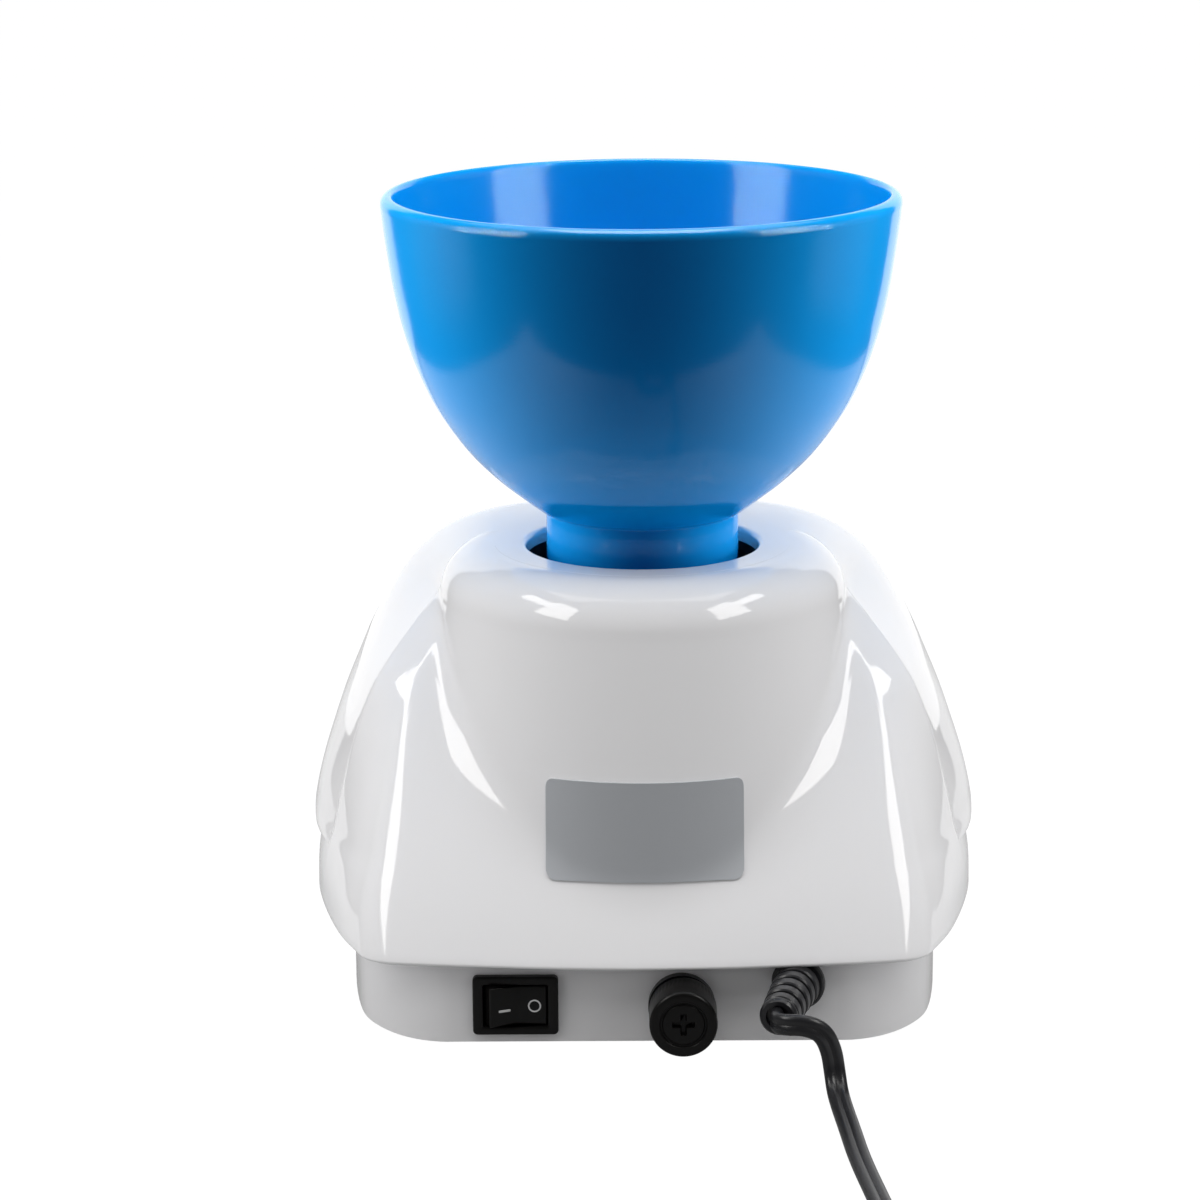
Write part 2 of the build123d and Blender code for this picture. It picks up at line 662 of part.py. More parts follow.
# ---------------------------------------------------------------- bowl
BOWL_OUT = [
    (25.8, 124.9), (30.8, 128.3), (37.1, 133.4), (44.4, 140.8), (51.4, 150.7), (56.2, 160.5),
    (59.6, 170.4), (61.9, 180.5), (63.5, 190.4), (64.5, 198.0), (65.0, 202.4),
]
BOWL_IN = [
    (61.6, 200.5), (60.9, 194.0), (59.6, 185.0), (57.5, 174.5), (54.6, 165.0), (50.6, 156.0), (45.6, 147.8),
    (39.2, 140.4), (32.6, 135.0), (25.0, 130.8), (17.0, 128.4), (8.0, 127.2), (0, 127.0),
]
with BuildPart() as mixing_bowl:
    with BuildSketch(SPINDLE_XZ):
        with BuildLine():
            Polyline((0, 127.0), (0, 121.0), (20.5, 121.0), (20.5, FOOT_Z), (FOOT_R - 2.0, FOOT_Z))
            RadiusArc((FOOT_R - 2.0, FOOT_Z), (FOOT_R, FOOT_Z + 2.0), -2.0)
            Line((FOOT_R, FOOT_Z + 2.0), (FOOT_R, 124.2))
            Line((FOOT_R, 124.2), (25.8, 124.9))
            Spline(*BOWL_OUT)
            ThreePointArc((BOWL_RIM_R, 202.4), (BOWL_RIM_R - 0.65, 204.1), (BOWL_RIM_R - 2.3, BOWL_RIM_Z))
            ThreePointArc((BOWL_RIM_R - 2.3, BOWL_RIM_Z), (61.95, 204.4), (61.7, 203.6))
            Line((61.7, 203.6), (61.6, 200.5))
            Spline(*BOWL_IN, tangents=((-0.12, -1), (-1, 0)))
        make_face()
    revolve(axis=SPINDLE_AXIS, revolution_arc=360)
mixing_bowl.part.label = "mixing_bowl"
export_step(mixing_bowl.part, "parts/mixing_bowl.step")

with BuildPart() as bowl_insert:
    with BuildSketch(at_spindle(111.4)):
        Circle(20.5)
    extrude(amount=9.6)
    with BuildSketch(at_spindle(111.4)):
        RegularPolygon(10.35, 6, major_radius=False)
    extrude(amount=8.6, mode=Mode.SUBTRACT)
bowl_insert.part.label = "bowl_insert"
export_step(bowl_insert.part, "parts/bowl_insert.step")

# ---------------------------------------------------------------- motor and belt
with BuildPart() as motor_can:
    with BuildSketch(at_spindle(22.0)):
        with Locations((0, MOTOR_Y)):
            Circle(19.2)
    extrude(amount=Z_PLATE - 22.0)
    fillet(motor_can.edges().filter_by(GeomType.CIRCLE).sort_by(Axis.Z)[-1], 1.5)
    with BuildSketch(at_spindle(60.0)):
        with Locations((0, MOTOR_Y)):
            Circle(3.0)
            with GridLocations(28, 0, 2, 1):
                Circle(1.6)
    extrude(amount=20, mode=Mode.SUBTRACT)
motor_can.part.label = "motor_can"
export_step(motor_can.part, "parts/motor_can.step")

with BuildPart() as motor_end_cap:
    with BuildSketch(at_spindle(18.0)):
        with Locations((0, MOTOR_Y)):
            Circle(18.2)
            with Locations((0, 0)):
                with PolarLocations(14, 4):
                    SlotOverall(7, 3, rotation=90, mode=Mode.SUBTRACT)
    extrude(amount=4.0)
    with BuildSketch(at_spindle(15.5)):
        with Locations((0, MOTOR_Y)):
            Circle(7.0)
    extrude(amount=2.5)
motor_end_cap.part.label = "motor_end_cap"
export_step(motor_end_cap.part, "parts/motor_end_cap.step")

with BuildPart() as motor_screws:
    with BuildSketch(at_spindle(Z_PLATE + T_PLATE)):
        with Locations((0, MOTOR_Y)):
            with GridLocations(28, 0, 2, 1):
                Circle(3.0)
    extrude(amount=1.9)
    with BuildSketch(at_spindle(61.0)):
        with Locations((0, MOTOR_Y)):
            with GridLocations(28, 0, 2, 1):
                Circle(1.6)
    extrude(amount=Z_PLATE + T_PLATE - 61.0)
motor_screws.part.label = "motor_screws"
export_step(motor_screws.part, "parts/motor_screws.step")

with BuildPart() as motor_shaft:
    with BuildSketch(at_spindle(60.4)):
        with Locations((0, MOTOR_Y)):
            Circle(2.95)
    extrude(amount=26.0)
motor_shaft.part.label = "motor_shaft"
export_step(motor_shaft.part, "parts/motor_shaft.step")

with BuildPart() as motor_pulley:
    with BuildSketch(at_spindle(75.5)):
        with Locations((0, MOTOR_Y)):
            Circle(PULLEY_SMALL)
    extrude(amount=9)
    for z0 in (74.5, 84.5):
        with BuildSketch(at_spindle(z0)):
            with Locations((0, MOTOR_Y)):
                Circle(PULLEY_SMALL + 2)
        extrude(amount=1.0)
    with BuildSketch(at_spindle(70)):
        with Locations((0, MOTOR_Y)):
            Circle(2.95)
    extrude(amount=20, mode=Mode.SUBTRACT)
motor_pulley.part.label = "motor_pulley"
export_step(motor_pulley.part, "parts/motor_pulley.step")

with BuildPart() as drive_belt:
    with BuildSketch(at_spindle(77.0)):
        with BuildLine():
            CenterArc((0, 0), PULLEY_BIG + 1.7, 0, 360)
            CenterArc((0, MOTOR_Y), PULLEY_SMALL + 1.7, 0, 360)
        make_hull()
    extrude(amount=6)
    with BuildSketch(at_spindle(77.0)):
        with BuildLine():
            CenterArc((0, 0), PULLEY_BIG + 0.3, 0, 360)
            CenterArc((0, MOTOR_Y), PULLEY_SMALL + 0.3, 0, 360)
        make_hull()
    extrude(amount=6, mode=Mode.SUBTRACT)
drive_belt.part.label = "drive_belt"
export_step(drive_belt.part, "parts/drive_belt.step")

# ---------------------------------------------------------------- operator panel
KEYS = {"key_start": -24.0, "key_time": -8.0, "key_speed_down": 8.0, "key_speed_up": 24.0}
KEY_Y = -10.0
with BuildPart() as control_bezel:
    with BuildSketch(PANEL):
        RectangleRounded(80, 42, 13)
    extrude(amount=2.0)
    chamfer(control_bezel.faces().sort_by(Axis.Y)[0].outer_wire().edges(), 0.6)
    with BuildSketch(PANEL.offset(-8.0)):
        with GridLocations(66, 28, 2, 2):
            Circle(2.4)
    extrude(amount=8.0)
    with BuildSketch(PANEL.offset(-8.0)):
        with GridLocations(66, 28, 2, 2):
            Circle(1.0)
    extrude(amount=6.0, mode=Mode.SUBTRACT)
    with BuildSketch(PANEL.offset(-1)):
        with Locations((0, 8.5)):
            RectangleRounded(36, 16, 2)
        with Locations(*[(x, KEY_Y) for x in KEYS.values()]):
            Circle(5.8)
    extrude(amount=5, mode=Mode.SUBTRACT)
control_bezel.part.label = "control_bezel"
export_step(control_bezel.part, "parts/control_bezel.step")

with BuildPart() as display_window:
    with BuildSketch(PANEL.offset(0.3)):
        with Locations((0, 8.5)):
            RectangleRounded(36, 16, 2)
    extrude(amount=1.5)
display_window.part.label = "display_window"
export_step(display_window.part, "parts/display_window.step")

with BuildPart() as display_module:
    with BuildSketch(PANEL.offset(-8.0)):
        with Locations((0, 8.5)):
            Rectangle(32, 14)
    extrude(amount=8.0)
display_module.part.label = "display_module"
export_step(display_module.part, "parts/display_module.step")

with BuildPart() as control_board:
    with BuildSketch(PANEL.offset(-9.6)):
        RectangleRounded(70, 33, 1.5)
        with GridLocations(66, 28, 2, 2):
            Circle(1.0, mode=Mode.SUBTRACT)
    extrude(amount=1.6)
control_board.part.label = "control_board"
export_step(control_board.part, "parts/control_board.step")

with BuildPart() as board_screws:
    with BuildSketch(PANEL.offset(-11.0)):
        with GridLocations(66, 28, 2, 2):
            Circle(2.0)
    extrude(amount=1.4)
    with BuildSketch(PANEL.offset(-9.6)):
        with GridLocations(66, 28, 2, 2):
            Circle(1.0)
    extrude(amount=7.0)
board_screws.part.label = "board_screws"
export_step(board_screws.part, "parts/board_screws.step")

with BuildPart() as tact_switches:
    with BuildSketch(PANEL.offset(-8.0)):
        with Locations(*[(x, KEY_Y) for x in KEYS.values()]):
            Rectangle(6, 6)
    extrude(amount=2.2)
    with BuildSketch(PANEL.offset(-5.8)):
        with Locations(*[(x, KEY_Y) for x in KEYS.values()]):
            Circle(1.6)
    extrude(amount=0.8)
tact_switches.part.label = "tact_switches"
export_step(tact_switches.part, "parts/tact_switches.step")

for key_name, key_x in KEYS.items():
    with BuildPart() as key:
        with BuildSketch(PANEL.offset(-2.2)):
            with Locations((key_x, KEY_Y)):
                Circle(6.2)
        extrude(amount=2.0)
        with BuildSketch(PANEL.offset(-0.2)):
            with Locations((key_x, KEY_Y)):
                Circle(5.4)
        extrude(amount=3.4)
        chamfer(key.edges().filter_by(GeomType.CIRCLE).sort_by(Axis.Y)[0], 0.5)
        with BuildSketch(PANEL.offset(-4.0)):
            with Locations((key_x, KEY_Y)):
                Circle(2.0)
        extrude(amount=1.8)
    key.part.label = key_name
    export_step(key.part, f"parts/{key_name}.step")

# ---------------------------------------------------------------- power board
with BuildPart() as power_board:
    with BuildSketch(Plane.XY.offset(12.0)):
        with Locations((0, AY + 14)):
            RectangleRounded(68, 33, 2)
        with Locations(*BOARD_POSTS):
            Circle(1.25, mode=Mode.SUBTRACT)
    extrude(amount=1.6)
power_board.part.label = "power_board"
export_step(power_board.part, "parts/power_board.step")

with BuildPart() as power_board_screws:
    with BuildSketch(Plane.XY.offset(13.6)):
        with Locations(*BOARD_POSTS):
            Circle(2.4)
    extrude(amount=1.5)
    with BuildSketch(Plane.XY.offset(7.6)):
        with Locations(*BOARD_POSTS):
            Circle(1.25)
    extrude(amount=6.0)
power_board_screws.part.label = "power_board_screws"
export_step(power_board_screws.part, "parts/power_board_screws.step")

with BuildPart() as transformer:
    with BuildSketch(Plane.XY.offset(13.6)):
        with Locations((-9, AY + 13)):
            Rectangle(26, 22)
    extrude(amount=15.0)
    with BuildSketch(Plane.XY.offset(14.6)):
        with Locations((-9, AY + 13)):
            Rectangle(18, 27)
    extrude(amount=12.0)
transformer.part.label = "transformer"
export_step(transformer.part, "parts/transformer.step")

with BuildPart() as board_capacitors:
    with BuildSketch(Plane.XY.offset(13.6)):
        with Locations((11, AY + 8), (22, AY + 8), (14, AY + 20)):
            Circle(4.6)
    extrude(amount=15.0)
board_capacitors.part.label = "board_capacitors"
export_step(board_capacitors.part, "parts/board_capacitors.step")

# ---------------------------------------------------------------- rocker switch
with BuildPart() as switch_frame:
    with BuildSketch(REAR):
        with Locations((-SW_X, SW_Z)):
            RectangleRounded(21.0, 15.0, 1.0)
    extrude(amount=2.0)
    chamfer(switch_frame.faces().sort_by(Axis.Y)[-1].outer_wire().edges(), 0.5)
    with BuildSketch(REAR.offset(-18.0)):
        with Locations((-SW_X, SW_Z)):
            Rectangle(19.2, 12.9)
    extrude(amount=18.0)
    with BuildSketch(Plane.XY.offset(SW_Z - 5.4)):
        with Locations((SW_X, AY + BASE_Y - 1.5)):
            Circle(8.2)
    extrude(amount=10.8, mode=Mode.SUBTRACT)
switch_frame.part.label = "switch_frame"
export_step(switch_frame.part, "parts/switch_frame.step")

with BuildPart() as switch_rocker:
    with BuildSketch(Plane.XY.offset(SW_Z - 5.1)):
        with Locations((SW_X, AY + BASE_Y - 1.5)):
            Circle(7.9)
        with BuildLine():
            # shallow V across the face, leaning 10 degrees to the pressed side
            px, py = SW_X, AY + BASE_Y - 1.5
            Polyline(
                *[
                    (
                        px + x * math.cos(math.radians(10)) - y * math.sin(math.radians(10)),
                        py + x * math.sin(math.radians(10)) + y * math.cos(math.radians(10)),
                    )
                    for x, y in [(-14, 5.6), (0, 2.6), (14, 5.6), (14, 20), (-14, 20), (-14, 5.6)]
                ]
            )
        make_face(mode=Mode.SUBTRACT)
    extrude(amount=10.2)
switch_rocker.part.label = "switch_rocker"
export_step(switch_rocker.part, "parts/switch_rocker.step")

with BuildPart() as switch_terminals:
    with BuildSketch(REAR.offset(-26.0)):
        with Locations((-SW_X, SW_Z)):
            with GridLocations(7.0, 0, 2, 1):
                Rectangle(0.8, 4.8)
    extrude(amount=8.0)
switch_terminals.part.label = "switch_terminals"
export_step(switch_terminals.part, "parts/switch_terminals.step")

# ---------------------------------------------------------------- fuse holder
with BuildPart() as fuse_holder:
    with BuildSketch(REAR.offset(-28.0)):
        with Locations((-FUSE_X, FUSE_Z)):
            Circle(6.3)
    extrude(amount=28.0)
    with BuildSketch(REAR):
        with Locations((-FUSE_X, FUSE_Z)):
            Circle(8.2)
    extrude(amount=2.4)
    with BuildSketch(REAR.offset(-25.0)):
        with Locations((-FUSE_X, FUSE_Z)):
            Circle(3.4)
    extrude(amount=30.0, mode=Mode.SUBTRACT)
fuse_holder.part.label = "fuse_holder"
export_step(fuse_holder.part, "parts/fuse_holder.step")

with BuildPart() as fuse_nut:
    with BuildSketch(REAR.offset(-WALL - 3.5)):
        with Locations((-FUSE_X, FUSE_Z)):
            Circle(7.0)
            Circle(6.3, mode=Mode.SUBTRACT)
    extrude(amount=3.5)
fuse_nut.part.label = "fuse_nut"
export_step(fuse_nut.part, "parts/fuse_nut.step")

with BuildPart() as fuse_cap:
    with BuildSketch(REAR.offset(2.7)):
        with Locations((-FUSE_X, FUSE_Z)):
            Circle(8.2)
    extrude(amount=10.3)
    fillet(fuse_cap.edges().filter_by(GeomType.CIRCLE).sort_by(Axis.Y)[-1], 1.0)
    with BuildSketch(REAR.offset(12.2)):
        with Locations((-FUSE_X, FUSE_Z)):
            Circle(5.4)
    extrude(amount=2, mode=Mode.SUBTRACT)
    with BuildSketch(REAR.offset(10.6)):
        with Locations((-FUSE_X, FUSE_Z)):
            Rectangle(5.6, 1.3)
            Rectangle(1.3, 5.6)
    extrude(amount=3, mode=Mode.SUBTRACT)
    with BuildSketch(REAR.offset(-4.0)):
        with Locations((-FUSE_X, FUSE_Z)):
            Circle(3.1)
    extrude(amount=6.7)
fuse_cap.part.label = "fuse_cap"
export_step(fuse_cap.part, "parts/fuse_cap.step")

with BuildPart() as fuse_cartridge:
    with BuildSketch(REAR.offset(-24.4)):
        with Locations((-FUSE_X, FUSE_Z)):
            Circle(2.6)
    extrude(amount=20.0)
fuse_cartridge.part.label = "fuse_cartridge"
export_step(fuse_cartridge.part, "parts/fuse_cartridge.step")

# ---------------------------------------------------------------- rating plate, blank
PLATE_ARC = 48.8
PLATE_PLANE = Plane(
    origin=(0, AY, 0),
    x_dir=(math.cos(math.radians(90 - PLATE_ARC / 2)), math.sin(math.radians(90 - PLATE_ARC / 2)), 0),
    z_dir=(math.sin(math.radians(90 - PLATE_ARC / 2)), -math.cos(math.radians(90 - PLATE_ARC / 2)), 0),
)
with BuildPart() as rating_plate:
    with BuildSketch(PLATE_PLANE):
        with BuildLine():
            Polyline(
                (tower_r(44) - 0.6, 44), (tower_r(44) + 0.7, 44), (tower_r(68.3) + 0.7, 68.3),
                (tower_r(68.3) - 0.6, 68.3), (tower_r(44) - 0.6, 44),
            )
        make_face()
    revolve(axis=SPINDLE_AXIS, revolution_arc=PLATE_ARC)
    add(rear_housing.part, mode=Mode.SUBTRACT)
    # lower corners stop short of the flare
    with BuildSketch(Plane.XY.offset(43)):
        with Locations((24.2, AY + 56), (-24.2, AY + 56)):
            Rectangle(3.8, 20)
    extrude(amount=2.6, mode=Mode.SUBTRACT)
print("rating_plate solids", len(rating_plate.part.solids()), round(rating_plate.part.volume))
rating_plate.part.label = "rating_plate"
export_step(rating_plate.part, "parts/rating_plate.step")

# ---------------------------------------------------------------- mains entry and cord
GLAND_TIP = (-29.0, AY + 87.0, 20.0)
GLAND_ROOT = (GLAND_X, AY + BASE_Y, GLAND_Z)
GLAND_DIR = tuple(a - b for a, b in zip(GLAND_TIP, GLAND_ROOT))
with BuildPart() as strain_relief:
    with BuildSketch(REAR):
        with Locations((-GLAND_X, GLAND_Z)):
            Circle(5.7)
    with BuildSketch(Plane(origin=GLAND_TIP, x_dir=(-1, 0, 0), z_dir=GLAND_DIR)):
        Circle(4.2)
    loft()
    with BuildSketch(REAR.offset(-WALL)):
        with Locations((-GLAND_X, GLAND_Z)):
            Circle(4.6)
    extrude(amount=WALL)
    with BuildSketch(REAR.offset(-WALL - 3.0)):
        with Locations((-GLAND_X, GLAND_Z)):
            Circle(5.4)
    extrude(amount=3.0)
strain_relief.part.label = "strain_relief"
export_step(strain_relief.part, "parts/strain_relief.step")

# free cord, from the tip of the strain relief to the coil; y counts from the spindle
CORD = [
    (-29.0, 87.0, 20.0), (-28.01, 90.25, 20.1), (-30.1, 93.6, 20.4), (-35.1, 94.9, 20.8), (-39.8, 94.4, 18.8),
    (-42.2, 93.7, 13.6), (-43.1, 94.2, 7.8), (-43.8, 97.4, 3.9), (-44.7, 104.2, 2.7), (-45.8, 115.0, 2.6),
    (-46.8, 133.0, 2.6), (-49.6, 155.0, 2.6), (-51.0, 178.0, 2.6), (-50.6, 200.0, 2.6), (-49.5, 215.0, 2.6),
]
TAIL = [(-14.0, 261.8, 7.0), (-2.0, 261.3, 7.2), (9.0, 262.5, 7.5), (18.0, 262.5, 7.5)]


def corner_radii(points):
    """Radius of each tangent arc: 0.45 of the shorter run over the tangent of half the turn."""
    radii = []
    for a, b, c in zip(points, points[1:], points[2:]):
        u, v = Vector(*b) - Vector(*a), Vector(*c) - Vector(*b)
        turn = math.radians(u.get_angle(v))
        radii.append(0.45 * min(u.length, v.length) / math.tan(turn / 2))
    return radii


CORD_PTS = [(x, y + AY, z) for x, y, z in CORD]
TAIL_PTS = [(x, y + AY, z) for x, y, z in TAIL]
CORD_R = corner_radii(CORD_PTS)
TAIL_R = corner_radii(TAIL_PTS)
print("cord radii", [round(r, 1) for r in CORD_R], "tail radii", [round(r, 1) for r in TAIL_R])

with BuildPart() as power_cord:
    with BuildLine() as cord_route:
        FilletPolyline(*CORD_PTS, radius=CORD_R)
    with BuildSketch(Plane(origin=CORD_PTS[0], z_dir=Vector(*CORD_PTS[1]) - Vector(*CORD_PTS[0]))):
        Circle(CORD_D / 2)
    sweep()
    print(
        "cord tube", round(power_cord.part.volume), "section x length",
        round(math.pi * CORD_D**2 / 4 * sum(e.length for e in cord_route.edges())),
        "length", round(sum(e.length for e in cord_route.edges()), 1),
    )
    with BuildSketch(Plane.XY.offset(-1)):
        with Locations((COIL_X, AY + COIL_Y)):
            Circle(COIL_R + COIL_BUNDLE / 2)
    extrude(amount=COIL_H + 1, mode=Mode.SUBTRACT)
power_cord.part.label = "power_cord"
export_step(power_cord.part, "parts/power_cord.step")

with BuildPart() as cord_coil:
    with BuildSketch(Plane.XY):
        with Locations((COIL_X, AY + COIL_Y)):
            Circle(COIL_R + COIL_BUNDLE / 2)
            Circle(COIL_R - COIL_BUNDLE / 2, mode=Mode.SUBTRACT)
    extrude(amount=COIL_H)
    fillet(cord_coil.edges().filter_by(GeomType.CIRCLE).group_by(Axis.Z)[-1], 3.0)
cord_coil.part.label = "cord_coil"
export_step(cord_coil.part, "parts/cord_coil.step")

with BuildPart() as cord_tail:
    with BuildLine() as tail_route:
        FilletPolyline(*TAIL_PTS, radius=TAIL_R)
    with BuildSketch(Plane(origin=TAIL_PTS[0], z_dir=Vector(*TAIL_PTS[1]) - Vector(*TAIL_PTS[0]))):
        Circle(CORD_D / 2)
    sweep()
    with BuildSketch(Plane.XY.offset(-1)):
        with Locations((COIL_X, AY + COIL_Y)):
            Circle(COIL_R + COIL_BUNDLE / 2)
    extrude(amount=COIL_H + 1, mode=Mode.SUBTRACT)
cord_tail.part.label = "cord_tail"
export_step(cord_tail.part, "parts/cord_tail.step")

with BuildPart() as cord_tie:
    tie_y = AY + COIL_Y - COIL_R
    with BuildSketch(Plane.YZ.offset(COIL_X - 4.0)):
        with Locations((tie_y, 7.2)):
            Rectangle(COIL_BUNDLE + 2.4, 14.4)
        with Locations((tie_y, COIL_H / 2)):
            Rectangle(COIL_BUNDLE, COIL_H, mode=Mode.SUBTRACT)
    extrude(amount=8.0)
    with BuildSketch(Plane.XY):
        with Locations((COIL_X, AY + COIL_Y)):
            Circle(COIL_R + COIL_BUNDLE / 2)
            Circle(COIL_R - COIL_BUNDLE / 2, mode=Mode.SUBTRACT)
    extrude(amount=COIL_H, mode=Mode.SUBTRACT)
cord_tie.part.label = "cord_tie"
export_step(cord_tie.part, "parts/cord_tie.step")

PLUG_AXIS = Plane(origin=TAIL_PTS[-1], x_dir=(0, 1, 0), z_dir=(1, 0, 0))
with BuildPart() as plug_body:
    with BuildSketch(PLUG_AXIS):
        RectangleRounded(8, 7, 2)
    with BuildSketch(PLUG_AXIS.offset(9)):
        RectangleRounded(11, 9, 3)
    with BuildSketch(PLUG_AXIS.offset(15)):
        RectangleRounded(24, 13.6, 4)
    with BuildSketch(PLUG_AXIS.offset(33)):
        RectangleRounded(25, 14.8, 4)
    loft(ruled=True)
plug_body.part.label = "plug_body"
export_step(plug_body.part, "parts/plug_body.step")

with BuildPart() as plug_blades:
    with BuildSketch(PLUG_AXIS.offset(33)):
        with GridLocations(12.7, 0, 2, 1):
            Rectangle(1.5, 6.35)
    extrude(amount=17.0)
plug_blades.part.label = "plug_blades"
export_step(plug_blades.part, "parts/plug_blades.step")

# ---------------------------------------------------------------- wiring inside
WIRES = [
    [(GLAND_X, 57.5, 20), (GLAND_X, 50, 20), (-24, 44, 24.5), (6, 45, 24.5), (25, 40, 22.5), (SW_X - 3.5, 32.6, 19), (SW_X - 3.5, 31.7, 13.8), (SW_X - 3.5, 37, 13.8)],
    [(GLAND_X + 2.6, 57.5, 17.4), (GLAND_X + 2.6, 46, 17.4), (-29, 36, 16), (-15, 32.4, 14.6), (FUSE_X, 31.7, 13.5), (FUSE_X, 35, 13.5)],
    [(SW_X + 3.5, 37, 13.8), (SW_X + 3.5, 32.6, 13.8), (34.2, 31.4, 19), (27, 27, 21), (24, 22, 19), (24, 22, 13.6)],
]
with BuildPart() as mains_wiring:
    for wire in WIRES:
        pts = [(x, y + AY, z) for x, y, z in wire]
        with BuildLine():
            FilletPolyline(*pts, radius=[min(3.0, r) for r in corner_radii(pts)])
        with BuildSketch(Plane(origin=pts[0], z_dir=Vector(*pts[1]) - Vector(*pts[0]))):
            Circle(1.0)
        sweep()
mains_wiring.part.label = "mains_wiring"
export_step(mains_wiring.part, "parts/mains_wiring.step")
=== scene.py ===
import json
import math

import bmesh
import bpy
import numpy as np
from mathutils import Matrix, Vector


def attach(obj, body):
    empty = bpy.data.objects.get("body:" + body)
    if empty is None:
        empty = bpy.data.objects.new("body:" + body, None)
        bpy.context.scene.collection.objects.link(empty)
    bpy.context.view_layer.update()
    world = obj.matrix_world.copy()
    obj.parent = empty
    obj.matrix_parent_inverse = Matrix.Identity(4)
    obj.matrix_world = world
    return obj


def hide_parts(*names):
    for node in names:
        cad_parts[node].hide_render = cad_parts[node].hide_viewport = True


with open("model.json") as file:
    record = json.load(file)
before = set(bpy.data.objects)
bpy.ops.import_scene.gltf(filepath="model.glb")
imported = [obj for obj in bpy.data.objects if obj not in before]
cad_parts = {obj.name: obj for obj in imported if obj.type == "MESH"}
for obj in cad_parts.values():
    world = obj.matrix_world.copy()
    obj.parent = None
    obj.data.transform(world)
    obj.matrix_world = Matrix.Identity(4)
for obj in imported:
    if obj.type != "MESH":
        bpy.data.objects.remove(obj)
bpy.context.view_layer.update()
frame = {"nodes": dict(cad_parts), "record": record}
scene = bpy.context.scene
AY = 10.0  # the spindle stands this far behind the middle of the footprint, mm


def at(x, y, z):
    """A point given in mm, y counted from the spindle, as metres in the row frame."""
    return Vector((x / 1000, (y + AY) / 1000, z / 1000))


# ------------------------------------------------------------------ camera
D, H, PITCH = 0.952, 0.3386, math.radians(14.07)
AZ, PAN, ROLL = math.radians(0.328), math.radians(0.656), math.radians(0.387)
eye = Vector((D * math.sin(AZ), 0.010 + D * math.cos(AZ), H))
look = Vector(
    (-math.sin(AZ - PAN) * math.cos(PITCH), -math.cos(AZ - PAN) * math.cos(PITCH), -math.sin(PITCH))
).normalized()
right = look.cross(Vector((0, 0, 1))).normalized()
up = right.cross(look).normalized()
right2 = math.cos(ROLL) * right - math.sin(ROLL) * up
up2 = math.sin(ROLL) * right + math.cos(ROLL) * up
cam_data = bpy.data.cameras.new("camera")
cam_data.sensor_fit = "HORIZONTAL"
cam_data.angle = 2 * math.atan(600 / 3838)
cam_data.clip_start, cam_data.clip_end = 0.01, 50
cam = bpy.data.objects.new("camera", cam_data)
scene.collection.objects.link(cam)
cam.matrix_world = Matrix(
    (
        (right2.x, up2.x, -look.x, eye.x),
        (right2.y, up2.y, -look.y, eye.y),
        (right2.z, up2.z, -look.z, eye.z),
        (0, 0, 0, 1),
    )
)
scene.camera = cam


